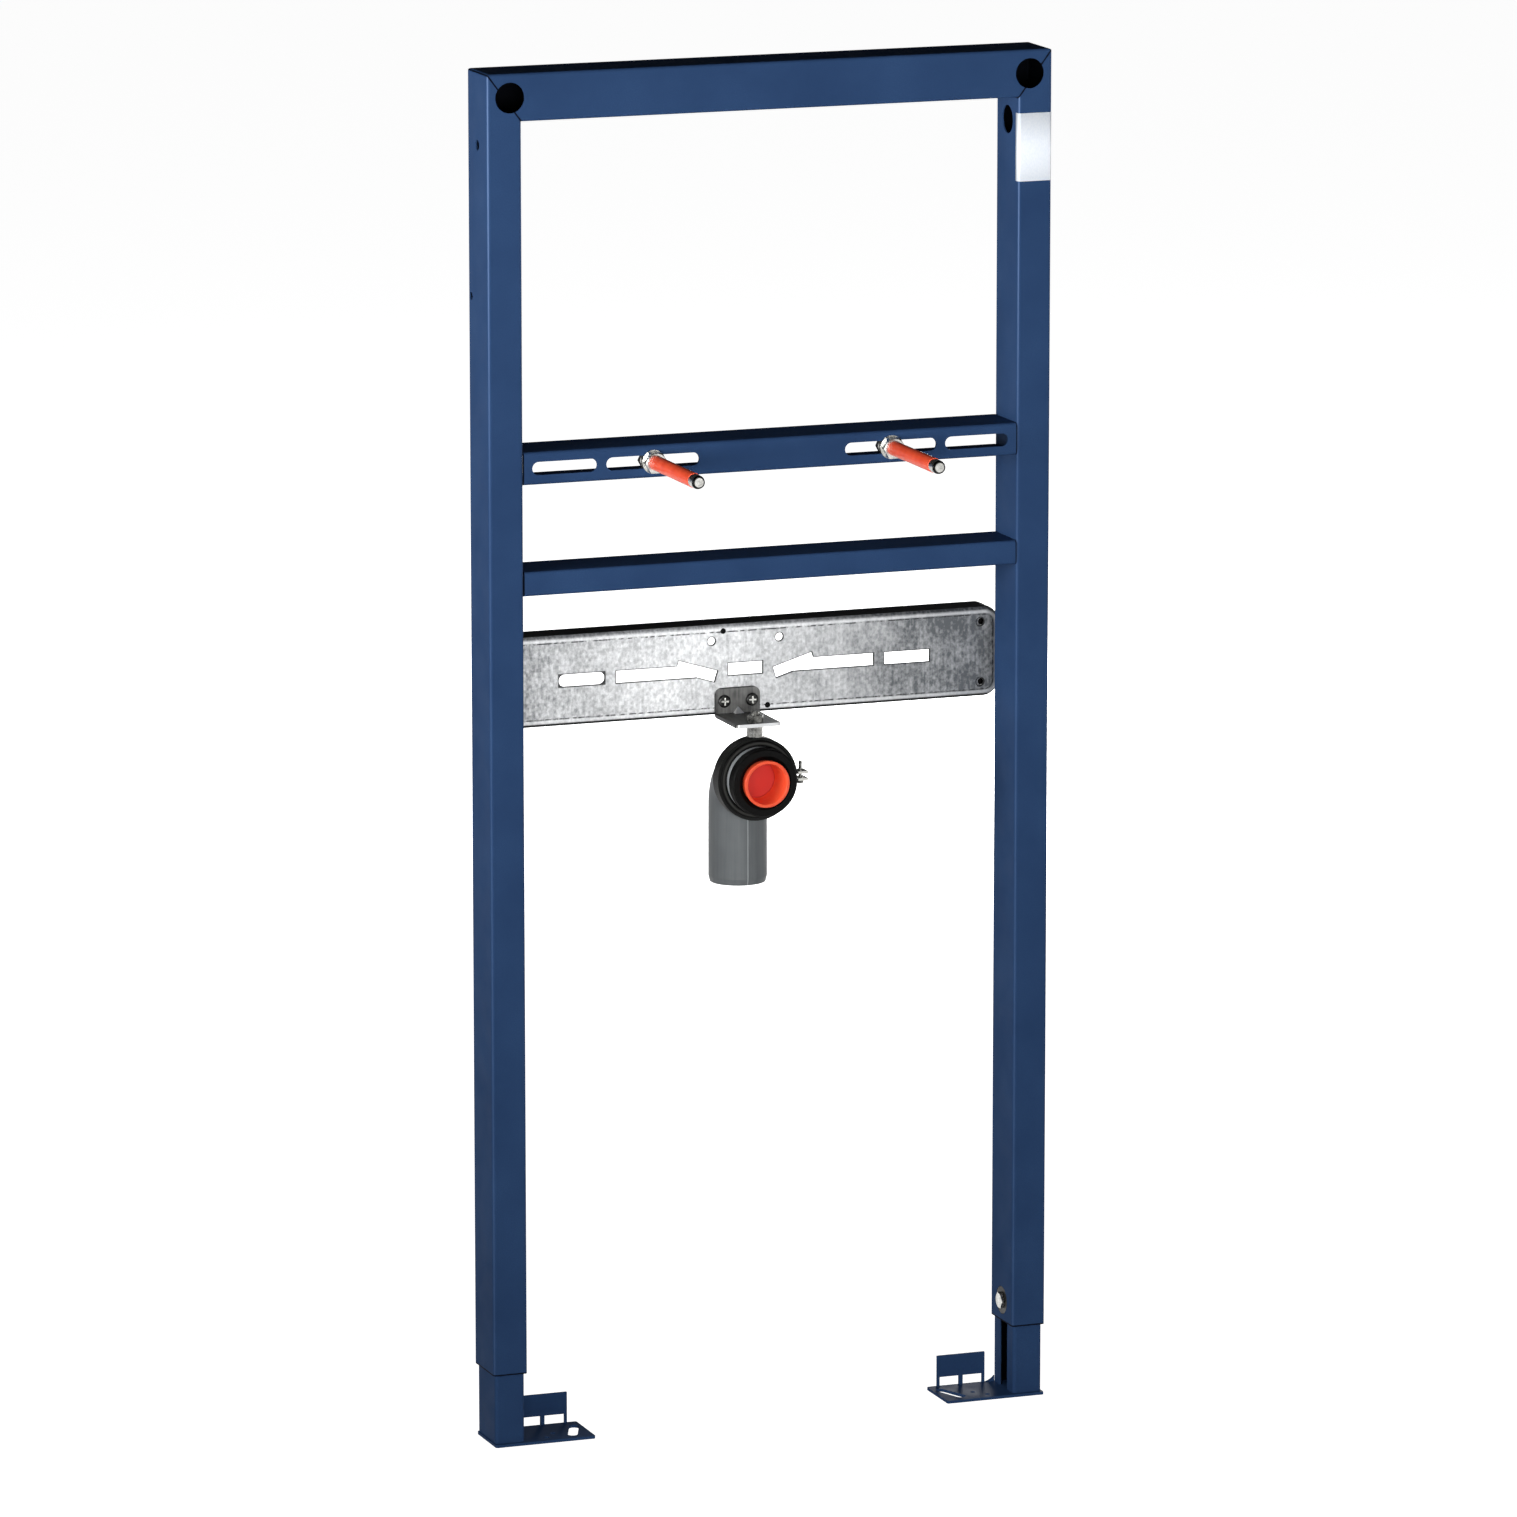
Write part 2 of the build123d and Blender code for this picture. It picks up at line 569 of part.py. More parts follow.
def make_clamp_stud():
    """Threaded rod from the clamp up through the bracket's shelf."""
    bottom = raised(WASTE_CENTRE) + CLAMP_OUTER_RADIUS
    top = waste_shelf()[1] + STUD_NUT_HEIGHT + STUD_TAIL
    return along_z(WASTE_X, CLAMP_SETBACK, bottom, top, STUD_DIAMETER / 2)


def make_stud_nut(above):
    """Nut on the shelf, or the longer one between the shelf and the clamp."""
    shelf_bottom, shelf_top = waste_shelf()
    z0, z1 = raised(WASTE_CENTRE) + CLAMP_OUTER_RADIUS, shelf_bottom
    if above:
        z0, z1 = shelf_top, shelf_top + STUD_NUT_HEIGHT
    shape = hexagon(STUD_NUT_FLATS) - Circle(STUD_DIAMETER / 2 + THREAD_CLEARANCE)
    nut = from_above(Pos(WASTE_X, CLAMP_SETBACK) * shape, z0, z1)
    barrel = along_z(WASTE_X, CLAMP_SETBACK, z0, z1, STUD_NUT_FLATS * NUT_BARREL / 2)
    return turn_corners(nut, barrel, STUD_NUT_FLATS, Axis.Z)


def pipe_run(radius):
    """Round bar along the waste pipe: up from its end and round to the front."""
    z = raised(WASTE_CENTRE)
    y = FRONT_Y + PIPE_SETBACK
    start = (WASTE_X, y, raised(PIPE_END))
    path = FilletPolyline(start, (WASTE_X, y, z), (WASTE_X, FRONT_Y + SOCKET_MOUTH, z), radius=PIPE_BEND)
    return sweep(Plane(origin=start, z_dir=(0, 0, 1)) * Circle(radius), path=path)


def socket_solid(offset, y_back):
    """Socket with its conical shoulder, smaller than the outer shape by an offset."""
    mouth_radius = SOCKET_DIAMETER / 2 - offset
    pipe_radius = PIPE_DIAMETER / 2 - offset
    outline = Polyline((0, SOCKET_MOUTH), (mouth_radius, SOCKET_MOUTH),
                       (mouth_radius, y_back - SOCKET_SHOULDER), (pipe_radius, y_back), (0, y_back),
                       close=True)
    return about_socket(make_face(outline))


def make_waste_elbow():
    """Plastic waste bend with a plain spigot below and a socket to the front."""
    bend_start = PIPE_SETBACK - PIPE_BEND
    elbow = pipe_run(PIPE_DIAMETER / 2)
    end = elbow.faces().sort_by(Axis.Z)[0].edges()
    elbow = chamfer(end, PIPE_CHAMFER, PIPE_CHAMFER_DEPTH, reference=elbow.faces().sort_by(Axis.Z)[1])
    elbow += socket_solid(0, bend_start)
    elbow -= pipe_run(PIPE_DIAMETER / 2 - PIPE_WALL)
    return elbow - socket_solid(PIPE_WALL, bend_start - PIPE_WALL)


def make_socket_seal():
    """Rubber seal in the socket, with a collar wrapped over its mouth and a funnel into its bore."""
    lip = SOCKET_MOUTH - SEAL_LIP
    back = SOCKET_MOUTH + PLUG_DEPTH / 2
    wrap = SOCKET_MOUTH + SEAL_WRAP
    socket = SOCKET_DIAMETER / 2
    collar = socket + SEAL_COLLAR
    bore = PLUG_DIAMETER / 2 + SEAT_CLEARANCE
    seat = socket - PIPE_WALL - SEAT_CLEARANCE
    over = socket + SEAT_CLEARANCE
    outline = Polyline((bore, back), (seat, back), (seat, SOCKET_MOUTH), (over, SOCKET_MOUTH),
                       (over, wrap), (collar, wrap), (collar, lip + SEAL_EDGE), (collar - SEAL_EDGE, lip),
                       (bore + SEAL_FUNNEL, lip), (bore, lip + SEAL_FUNNEL), close=True)
    return about_socket(make_face(outline))


def make_plug():
    """Protective cup in the seal, open to the front, with a rim and tapered inside."""
    front = SOCKET_MOUTH - SEAL_LIP - PLUG_PROUD
    back = front + PLUG_DEPTH
    outer = PLUG_DIAMETER / 2
    inner = outer - PLUG_WALL
    rim_back = front + PLUG_RIM_DEPTH
    outline = Polyline((0, back), (outer - PLUG_DRAFT, back), (outer, back - PLUG_DRAFT), (outer, rim_back),
                       (outer + PLUG_RIM, rim_back), (outer + PLUG_RIM, front), (inner, front),
                       (inner - PLUG_DRAFT, back - PLUG_WALL), (0, back - PLUG_WALL), close=True)
    plug = about_socket(make_face(outline))
    rim = plug.faces().sort_by(Axis.Y)[0].edges()
    return fillet(rim, PLUG_RIM_DEPTH / 4)


def leg_size():
    inset = TUBE_WALL + LEG_CLEARANCE
    return POST_WIDTH - 2 * inset, FRAME_DEPTH - 2 * inset


def make_leg(side):
    """Lipped channel that slides in the post, open towards the middle of the frame."""
    width, depth = leg_size()
    outer = RectangleRounded(width, depth, LEG_RADIUS)
    inner = RectangleRounded(width - 2 * LEG_WALL, depth - 2 * LEG_WALL, LEG_RADIUS / 3)
    mouth = Pos(-side * width / 2, 0) * Rectangle(width, LEG_SLOT)
    section = Pos(side * POST_X, MID_DEPTH) * (outer - inner - mouth)
    return from_above(section, FOOT_SHEET, LEG_TOP)


def gusset_outline(leg_face):
    """Hollow-curved corner between the foot plate and its leg, as seen from the front."""
    toe = (leg_face - GUSSET_LENGTH, FOOT_SHEET)
    heel = (leg_face, FOOT_SHEET)
    top = (leg_face, FOOT_SHEET + GUSSET_HEIGHT)
    hollow = (leg_face - GUSSET_LENGTH * GUSSET_HOLLOW, FOOT_SHEET + GUSSET_HEIGHT * GUSSET_HOLLOW)
    return make_face([Line(toe, heel), Line(heel, top), ThreePointArc(top, hollow, toe)])


def make_foot_plate(side):
    """Floor plate of a leg, with a slanted slot and an upstand along its rear edge."""
    leg_width, leg_depth = leg_size()
    rear = MID_DEPTH + leg_depth / 2
    foot_start = HALF_WIDTH - FOOT_INSET - FOOT_LENGTH
    outline = RectangleRounded(FOOT_LENGTH, rear + FOOT_PROUD, FOOT_CORNER)
    sketch = Pos(foot_start + FOOT_LENGTH / 2, (rear - FOOT_PROUD) / 2) * outline
    slot = Rot(0, 0, FOOT_SLOT_ANGLE) * SlotOverall(FOOT_SLOT_LENGTH, FOOT_SLOT_WIDTH)
    sketch -= Pos(foot_start + FOOT_SLOT_INSET, FOOT_SLOT_Y) * slot
    for inset, y in FOOT_HOLES:
        sketch -= Pos(foot_start + inset, y) * Circle(FOOT_HOLE_DIAMETER / 2)
    foot = from_above(sketch, 0, FOOT_SHEET)
    leg_face = POST_X - leg_width / 2
    upstand_end = leg_face - UPSTAND_GAP
    upstand_start = upstand_end - UPSTAND_LENGTH
    foot += block(upstand_start, upstand_end, rear - UPSTAND_SHEET, rear, 0, UPSTAND_HEIGHT)
    window = (UPSTAND_LENGTH - 2 * WINDOW_SIDE - WINDOW_MIDDLE) / 2
    for start in (upstand_start + WINDOW_SIDE, upstand_end - WINDOW_SIDE - window):
        foot -= block(start, start + window, rear - UPSTAND_SHEET - OVERCUT, rear + OVERCUT,
                      FOOT_SHEET, FOOT_SHEET + WINDOW_HEIGHT)
    foot += from_front(gusset_outline(leg_face), rear - UPSTAND_SHEET, rear)
    return foot if side > 0 else mirror(foot, about=Plane.YZ)


def leg_clamp_faces():
    """Distances from the middle of the frame: clamp disc, then the plate inside the leg."""
    leg_face = POST_X - leg_size()[0] / 2
    disc_inner = leg_face - LEG_CLAMP_GAP
    disc_outer = disc_inner - TUBE_WALL
    plate_outer = leg_face + LEG_WALL + LEG_CLAMP_GAP
    return disc_outer, disc_inner, plate_outer, plate_outer + LEG_CLAMP_PLATE_SHEET


def make_clamp_disc(side):
    """Disc in the post's hole that presses on the lips of the leg."""
    outer, inner = leg_clamp_faces()[:2]
    radius = LEG_CLAMP_HOLE / 2 - LEG_CLAMP_GAP
    disc = along_x(side * outer, side * inner, MID_DEPTH, leg_clamp_height(), radius)
    hole = LEG_CLAMP_BOLT / 2 + THREAD_CLEARANCE
    return disc - along_x(side * (outer - OVERCUT), side * (inner + OVERCUT), MID_DEPTH,
                          leg_clamp_height(), hole)


def make_clamp_plate(side):
    """Threaded plate inside the leg, behind its lips."""
    near, far = leg_clamp_faces()[2:]
    half_width = LEG_CLAMP_PLATE_WIDTH / 2
    half_height = LEG_CLAMP_PLATE_HEIGHT / 2
    z = leg_clamp_height()
    plate = block(side * near, side * far, MID_DEPTH - half_width, MID_DEPTH + half_width,
                  z - half_height, z + half_height)
    hole = LEG_CLAMP_BOLT / 2 + THREAD_CLEARANCE
    return plate - along_x(side * (near - OVERCUT), side * (far + OVERCUT), MID_DEPTH, z, hole)


def make_leg_clamp_bolt(side):
    """Hexagon bolt through the disc and the leg's open side into the plate."""
    disc_outer = leg_clamp_faces()[0]
    end = leg_clamp_faces()[3]
    z = leg_clamp_height()
    head_ends = sorted((side * (disc_outer - LEG_CLAMP_HEAD_HEIGHT), side * disc_outer))
    head = from_side(Pos(MID_DEPTH, z) * hexagon(LEG_CLAMP_HEAD_FLATS), *head_ends)
    barrel = along_x(*head_ends, MID_DEPTH, z, LEG_CLAMP_HEAD_FLATS * NUT_BARREL / 2)
    head = turn_corners(head, barrel, LEG_CLAMP_HEAD_FLATS, Axis.X)
    return head + along_x(side * disc_outer, side * end, MID_DEPTH, z, LEG_CLAMP_BOLT / 2)


def make_nodes():
    nodes = {
        "top_bar": make_top_bar(),
        "slotted_bar": make_slotted_bar(),
        "lower_bar": make_lower_bar(),
        "connection_plate": make_connection_plate(),
        "waste_bracket": make_waste_bracket(),
        "waste_bracket_screws": make_bracket_screws(),
        "pipe_clamp_upper": make_clamp_half(1),
        "pipe_clamp_lower": make_clamp_half(-1),
        "pipe_clamp_lining": make_clamp_lining(),
        "pipe_clamp_screw": make_clamp_screw(),
        "pipe_clamp_stud": make_clamp_stud(),
        "pipe_clamp_top_nut": make_stud_nut(True),
        "pipe_clamp_lower_nut": make_stud_nut(False),
        "waste_elbow": make_waste_elbow(),
        "socket_seal": make_socket_seal(),
        "socket_plug": make_plug(),
    }
    for word, side in (("left", -1), ("right", 1)):
        front_nut, rear_nut = make_basin_nuts(side)
        front_washer, rear_washer = make_basin_washers(side)
        nodes[word + "_post"] = make_post(side)
        nodes[word + "_plate_bracket"] = make_plate_bracket(side)
        nodes[word + "_leg"] = make_leg(side)
        nodes[word + "_foot_plate"] = make_foot_plate(side)
        nodes[word + "_leg_clamp_disc"] = make_clamp_disc(side)
        nodes[word + "_leg_clamp_plate"] = make_clamp_plate(side)
        nodes[word + "_leg_clamp_bolt"] = make_leg_clamp_bolt(side)
        nodes[word + "_basin_bolt"] = make_basin_bolt(side)
        nodes[word + "_basin_sleeve"] = make_sleeve(side)
        nodes[word + "_basin_front_nut"] = front_nut
        nodes[word + "_basin_rear_nut"] = rear_nut
        nodes[word + "_basin_front_washer"] = front_washer
        nodes[word + "_basin_rear_washer"] = rear_washer
    return nodes


os.makedirs("parts", exist_ok=True)
for name, solid in make_nodes().items():
    export_step(solid, f"parts/{name}.step")
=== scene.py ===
import math

import bmesh
import bpy
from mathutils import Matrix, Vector


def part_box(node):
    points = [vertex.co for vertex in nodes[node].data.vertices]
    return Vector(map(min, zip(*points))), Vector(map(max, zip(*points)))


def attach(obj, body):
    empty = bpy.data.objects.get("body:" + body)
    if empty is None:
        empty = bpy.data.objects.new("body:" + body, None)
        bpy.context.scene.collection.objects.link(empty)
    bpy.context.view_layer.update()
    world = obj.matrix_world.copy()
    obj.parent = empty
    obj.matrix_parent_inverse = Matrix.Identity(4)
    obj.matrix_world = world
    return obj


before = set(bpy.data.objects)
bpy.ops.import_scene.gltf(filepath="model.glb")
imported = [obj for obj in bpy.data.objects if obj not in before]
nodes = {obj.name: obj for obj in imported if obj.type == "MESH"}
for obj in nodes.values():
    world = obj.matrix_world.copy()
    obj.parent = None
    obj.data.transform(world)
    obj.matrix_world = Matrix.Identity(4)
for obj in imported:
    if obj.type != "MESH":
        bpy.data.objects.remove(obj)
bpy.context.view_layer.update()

# Looks of a basin installation frame: finishes, a bare label, small fittings, studio and camera.
# Metres, in the CAD frame.

MM = 0.001
scene = bpy.context.scene

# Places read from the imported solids
top_low, top_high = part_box("top_bar")
post_low, post_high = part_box("right_post")
leg_low, leg_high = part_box("right_leg")
slotted_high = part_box("slotted_bar")[1]
plug_low, plug_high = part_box("socket_plug")
band_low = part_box("pipe_clamp_upper")[0]
plate_low, plate_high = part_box("connection_plate")
bracket_low, bracket_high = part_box("waste_bracket")
screws_low, screws_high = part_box("waste_bracket_screws")
bolt_low, bolt_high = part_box("right_basin_bolt")
socket_x = (plug_low.x + plug_high.x) / 2
socket_z = (plug_low.z + plug_high.z) / 2
band_radius = socket_x - band_low.x
plate_z = (plate_low.z + plate_high.z) / 2

# Camera
CAMERA_PLACE = (-2.773, -7.409, 2.168)
CAMERA_TILT = 78.63
CAMERA_TURN = -20.41
CAMERA_LENS = 228.2

# Label on the right post, and the steps in which it goes round the post's front corners
LABEL_LOW = 1.053
LABEL_HIGH = 1.1105
LABEL_WRAP = 3.5 * MM
LABEL_SHEET = 0.15 * MM
LABEL_OFFSET = -0.6
POST_CORNER = 2.5 * MM
INNER_STEPS = 8
OUTER_STEPS = 5

# Powder coat: depth of the skin that shows on a tube, with painted shade inside it, joint lines as
# half width and soft edge, the span of the painted shade on a post's lower edge, and where along a
# post the painted highlight on its front edges shows
SKIN = 1.2 * MM
MITRE_LINE = (0.45 * MM, 0.4 * MM)
BAR_END_LINE = (0.55 * MM, 0.4 * MM)
POST_END_SHADE = (0.9 * MM, 1.4 * MM)
EDGE_HIGHLIGHT = (1.46 * MM, 1.72 * MM)
EDGE_HIGHLIGHT_BY_HEIGHT = (0.8, 1.08, 0.12, 0.6)

# Connection plate: its sheet, half of each cut-out about its middle, and what sits in its holes
PLATE_CORNER = 14 * MM
PLATE_SHEET = 2 * MM
PLATE_BEND = 5 * MM
SLOT_HALF_HEIGHT = 5.25 * MM
SLOTS = ((0.0, 15.5 * MM), (79.9 * MM, 36.1 * MM), (146.5 * MM, 20.5 * MM))
ARROW_HEAD_X = 43.9 * MM
ARROW_HEAD_HALF = (18.25 * MM, 4.85 * MM)
ARROW_TILT = 17
HOLE_RADIUS = 3.5 * MM
TAP_HOLE = (30.5 * MM, 25 * MM)
END_HOLE = (213.5 * MM, 26 * MM)
PIN_HOLE = (20 * MM, 33 * MM)
PIN_RADIUS = 2.4 * MM
PIN_RECESS = 0.4 * MM
PIN_END = 3 * PLATE_SHEET
NUT_RADIUS = 6.2 * MM
NUT_BORE = 2.7 * MM
NUT_DEPTH = 6 * MM
NUT_WALL = MM
NUT_SHIFT = 1.3 * MM
NUT_GAP = 0.05 * MM
NUT_EDGE = 0.2 * MM
NUT_SLACK = 0.1 * MM

# Painted shade and highlights on the plate: how deep they go, spans from full to none with the
# share that is full, lines as half width and soft edge, and the mottle's strength and the painted
# light along X as two places and the values there
BEND_DEPTH = PLATE_BEND - MM
CUT_EDGE_DEPTH = PLATE_SHEET - 0.2 * MM
LOWER_BEND_SHADE = (2.3 * MM, 3.2 * MM)
RIGHT_BEND_SHADE = (0.5 * MM, PLATE_BEND, 0.9)
FLANGE_SHADE = (0.3 * MM, 0.8 * MM)
CUT_EDGE_SHADE = (0.45 * MM, 0.9 * MM, 0.9)
CREASE_MARGIN = 6.6 * MM
CREASE_LINE = (0.25 * MM, 0.5 * MM)
HIGHLIGHT_MARGIN = 4.2 * MM
HIGHLIGHT_LINE = (0.8 * MM, 1.2 * MM)
HIGHLIGHT_SHARE = 0.45
MOTTLE_BY_X = (-0.05, 0.1, 1.0, 0.6)
LEFT_PAINTED_LIGHT_BY_X = (-0.2, -0.08, -0.22, 0.36)
RIGHT_PAINTED_LIGHT_BY_X = (-0.03, 0.17, 0.0, -0.95)

# Waste bracket: its sheet, the painted shade on its cut edges and the painted highlight on the bead
# in its bend, then its screws' recesses
BRACKET_SHEET = 3 * MM
CUT_DEPTH = 0.4 * MM
BEAD_REACH = 6 * MM
BEAD_GAP = 0.5 * MM
RECESS_DEPTH = (0.15 * MM, 0.5 * MM)
RECESS_RADIUS = 3.4 * MM

# Basin bolts: the flat of the tip, and the painted shade in a ring round it
BOLT_TIP_RADIUS = 3.9 * MM
BOLT_TIP_SOFT = 0.3 * MM
BOLT_TIP_DEPTH = 2 * MM

# Pipe clamp, waste bend and plug: the painted highlight on the lining's bead is counted in from the
# clamp's outside
EAR_START = (0.6 * MM, 1.2 * MM)
RIB_PITCH = 2.2 * MM
RING_PITCH = 1.6 * MM
LINING_BEAD = 4.6 * MM
BEAD_HIGHLIGHT_LINE = (0.5 * MM, 0.8 * MM)
PIPE_SEAM_LINE = (0.25 * MM, 0.35 * MM)
PIPE_MOUTH = 4 * MM
CUP_WALL = 2.3 * MM
CUP_FLOOR = (4 * MM, 2 * MM)

# Studio, with its floor as far down as the legs reach
FLOOR_SIZE = 400.0
FLOOR_LEVEL = -0.166
FLOOR_GLOW = 0.95
FLOOR_GREY = (0.8, 0.8, 0.8, 1.0)
HORIZON = ((0.03, (0.5, 0.5, 0.5, 1.0)), (0.07, (0.02, 0.02, 0.02, 1.0)))

# Most noise lies in this range
NOISE_RANGE = (0.3, 0.7)

# Turned fittings
LATHE_STEPS = 32
WELD_GAP = 1e-6


def srgb(red, green, blue):
    """Linear colour from the 0 to 255 values that a screen shows."""
    linear = []
    for value in (red, green, blue):
        share = value / 255
        linear.append(share / 12.92 if share <= 0.04045 else ((share + 0.055) / 1.055) ** 2.4)
    return (*linear, 1.0)


# Colours, in pairs where a finish goes from one to the other
POWDER_BLUE = srgb(48, 73, 111)
POWDER_DEEP = srgb(41, 64, 100)
# painted highlight on the posts' rounded front edges
POWDER_EDGE_HIGHLIGHT = srgb(112, 136, 176)
# dark joint lines, and painted shade on the posts' lower edges
POWDER_SEAM_AND_SHADE = srgb(10, 14, 24)
# painted shade inside the tubes
POWDER_INSIDE_SHADE = srgb(8, 10, 15)
SHEET_ZINC = (srgb(100, 103, 106), srgb(252, 253, 254))
# painted highlight beside the plate's bends
SHEET_HIGHLIGHT = srgb(252, 253, 254)
# painted shade on the plate's flanges, bends and cut edges
SHEET_CREASE = srgb(58, 59, 60)
SHEET_SHADE = srgb(22, 23, 24)
BRACKET_STEEL = (srgb(70, 70, 70), srgb(130, 130, 128))
# painted shade on the bracket's cut edges
BRACKET_EDGE_SHADE = srgb(14, 14, 14)
# painted highlights on the bracket's shelf front and bead
BRACKET_HIGHLIGHT = srgb(214, 215, 216)
# steel darkened as painted shade, for the leg clamps in the posts' holes
SHADED_CLAMP_STEEL = (srgb(20, 20, 20), srgb(46, 46, 45))
DULL_ZINC = (srgb(60, 60, 58), srgb(128, 128, 124))
# zinc darkened as painted shade
SHADED_ZINC = (srgb(96, 96, 93), srgb(176, 175, 171))
BRIGHT_ZINC = (srgb(176, 176, 172), srgb(232, 231, 226))
ZINC_SHADE = srgb(24, 24, 24)
SCREW_DARK = (srgb(34, 34, 34), srgb(70, 70, 69))
# painted highlight in the screw recesses
SCREW_RECESS_HIGHLIGHT = srgb(226, 226, 222)
NUT_ZINC = (srgb(150, 150, 148), srgb(190, 190, 187))
# painted shade in the nut bores
NUT_BORE_SHADE = srgb(6, 6, 6)
BAND_BLACK = (srgb(4, 5, 4), srgb(14, 15, 14))
BAND_EAR = srgb(206, 205, 200)
RUBBER_BLACK = (srgb(4, 4, 4), srgb(15, 15, 15))
# painted highlight on the lining's bead
RUBBER_BEAD_HIGHLIGHT = srgb(52, 52, 50)
PIPE_GREY = (srgb(84, 88, 90), srgb(100, 104, 106))
# painted highlight on the pipe's mouth
PIPE_MOUTH_HIGHLIGHT = srgb(156, 160, 162)
PIPE_SEAM = srgb(150, 154, 156)
ORANGE = (srgb(230, 74, 42), srgb(244, 92, 56))
# painted light inside the plug, and painted shade on its floor
ORANGE_CUP_LIGHT = srgb(255, 98, 58)
ORANGE_FLOOR_SHADE = srgb(196, 44, 34)
LABEL_WHITE = (srgb(232, 239, 249), srgb(243, 248, 254))


class Finish:
    """A procedural material, with short calls for the nodes that it is made of."""

    def __init__(self, name, metallic=0.0, specular=0.5):
        self.material = bpy.data.materials.new(name)
        self.material.use_nodes = True
        self.tree = self.material.node_tree
        self.shader = self.tree.nodes["Principled BSDF"]
        self.shader.inputs["Metallic"].default_value = metallic
        self.shader.inputs["Specular IOR Level"].default_value = specular
        self.place = self.node("ShaderNodeTexCoord").outputs["Object"]
        self.x, self.y, self.z = self.node("ShaderNodeSeparateXYZ", {0: self.place}).outputs

    def feed(self, socket, value):
        if isinstance(value, bpy.types.NodeSocket):
            self.tree.links.new(value, socket)
        else:
            socket.default_value = value

    def node(self, kind, inputs=None, **settings):
        node = self.tree.nodes.new(kind)
        for name, value in settings.items():
            setattr(node, name, value)
        for key, value in (inputs or {}).items():
            self.feed(node.inputs[key], value)
        return node

    def sets(self, **values):
        """Feeds the shader's own inputs, named with _ for a space."""
        for name, value in values.items():
            self.feed(self.shader.inputs[name.replace("_", " ")], value)

    def math(self, operation, first, second=0.0):
        return self.node("ShaderNodeMath", {0: first, 1: second}, operation=operation).outputs[0]

    def between(self, value, low, high):
        """1 where a value lies between two others."""
        above = self.math("GREATER_THAN", value, low)
        return self.math("MULTIPLY", above, self.math("LESS_THAN", value, high))

    def hypot(self, first, second):
        squares = [self.math("MULTIPLY", value, value) for value in (first, second)]
        return self.math("SQRT", self.math("ADD", *squares))

    def noise(self, scale, detail=3.0, stretch=(1, 1, 1)):
        """Noise about 0.5, with about scale features to the metre."""
        place = self.node("ShaderNodeMapping", {"Vector": self.place, "Scale": stretch}).outputs[0]
        inputs = {"Vector": place, "Scale": scale, "Detail": detail}
        return self.node("ShaderNodeTexNoise", inputs).outputs[0]

    def spread(self, value, low, high, to_low=0.0, to_high=1.0):
        """A value moved from one range to another, and held at its ends."""
        inputs = {"Value": value, "From Min": low, "From Max": high,
                  "To Min": to_low, "To Max": to_high}
        return self.node("ShaderNodeMapRange", inputs).outputs[0]

    def fade(self, value, low, high, share=1.0):
        """That share up to low, and none from high on."""
        return self.spread(value, low, high, share, 0.0)

    def level(self, noise, to_low=0.0, to_high=1.0):
        """Noise moved to another range."""
        return self.spread(noise, *NOISE_RANGE, to_low, to_high)

    def line(self, offset, half_width, soft):
        """1 within half_width of where offset is 0, and 0 beyond soft more."""
        return self.fade(self.math("ABSOLUTE", offset), half_width, half_width + soft)

    def mix(self, share, first, second):
        node = self.node("ShaderNodeMix", data_type="RGBA")
        for index, value in ((0, share), (6, first), (7, second)):
            self.feed(node.inputs[index], value)
        return node.outputs[2]

    def bump(self, height, depth, strength):
        """Relief of that depth where height goes from 0 to 1."""
        inputs = {"Height": height, "Distance": depth, "Strength": strength}
        self.sets(Normal=self.node("ShaderNodeBump", inputs).outputs[0])


def mitre_seam(coat):
    """Joint line from each outer top corner to the inner corner under the top bar."""
    run = post_high.x - post_low.x
    rise = top_high.z - top_low.z
    length = math.hypot(run, rise)
    inwards = coat.math("SUBTRACT", post_high.x, coat.math("ABSOLUTE", coat.x))
    down = coat.math("SUBTRACT", top_high.z, coat.z)
    across = coat.math("SUBTRACT", coat.math("MULTIPLY", inwards, rise / length),
                       coat.math("MULTIPLY", down, run / length))
    return coat.line(across, *MITRE_LINE)


def post_seams_and_shade(coat):
    """The mitres, and painted shade along the lower edge of each post."""
    full, none = POST_END_SHADE
    painted_edge = coat.fade(coat.z, post_low.z + full, post_low.z + none)
    return coat.math("MAXIMUM", mitre_seam(coat), painted_edge)


def bar_end_seam(coat):
    """Joint line where a bar meets the posts."""
    from_end = coat.math("SUBTRACT", coat.math("ABSOLUTE", coat.x), slotted_high.x)
    return coat.line(from_end, *BAR_END_LINE)


def tube_inside_shade(coat, low, high):
    """1 inside upright tubes of that box and its mirror image, under their skin, for painted shade.
    """
    across = coat.between(coat.math("ABSOLUTE", coat.x), low.x + SKIN, high.x - SKIN)
    return coat.math("MULTIPLY", across, coat.between(coat.y, low.y + SKIN, high.y - SKIN))


def frame_inside_shade(coat):
    """Painted shade: 1 inside the posts and the top bar, whose masks overlap a little where they
    meet.
    """
    in_posts = coat.math("MULTIPLY", tube_inside_shade(coat, post_low, post_high),
                         coat.math("LESS_THAN", coat.z, top_high.z - SKIN))
    in_bar = coat.math("MULTIPLY", coat.between(coat.y, top_low.y + SKIN, top_high.y - SKIN),
                       coat.between(coat.z, top_low.z + SKIN, top_high.z - SKIN))
    reach = post_low.x + 2 * SKIN
    in_bar = coat.math("MULTIPLY", in_bar, coat.between(coat.x, -reach, reach))
    return coat.math("MAXIMUM", in_posts, in_bar)


# painted shade inside the legs
def leg_inside_shade(coat):
    return tube_inside_shade(coat, leg_low, leg_high)


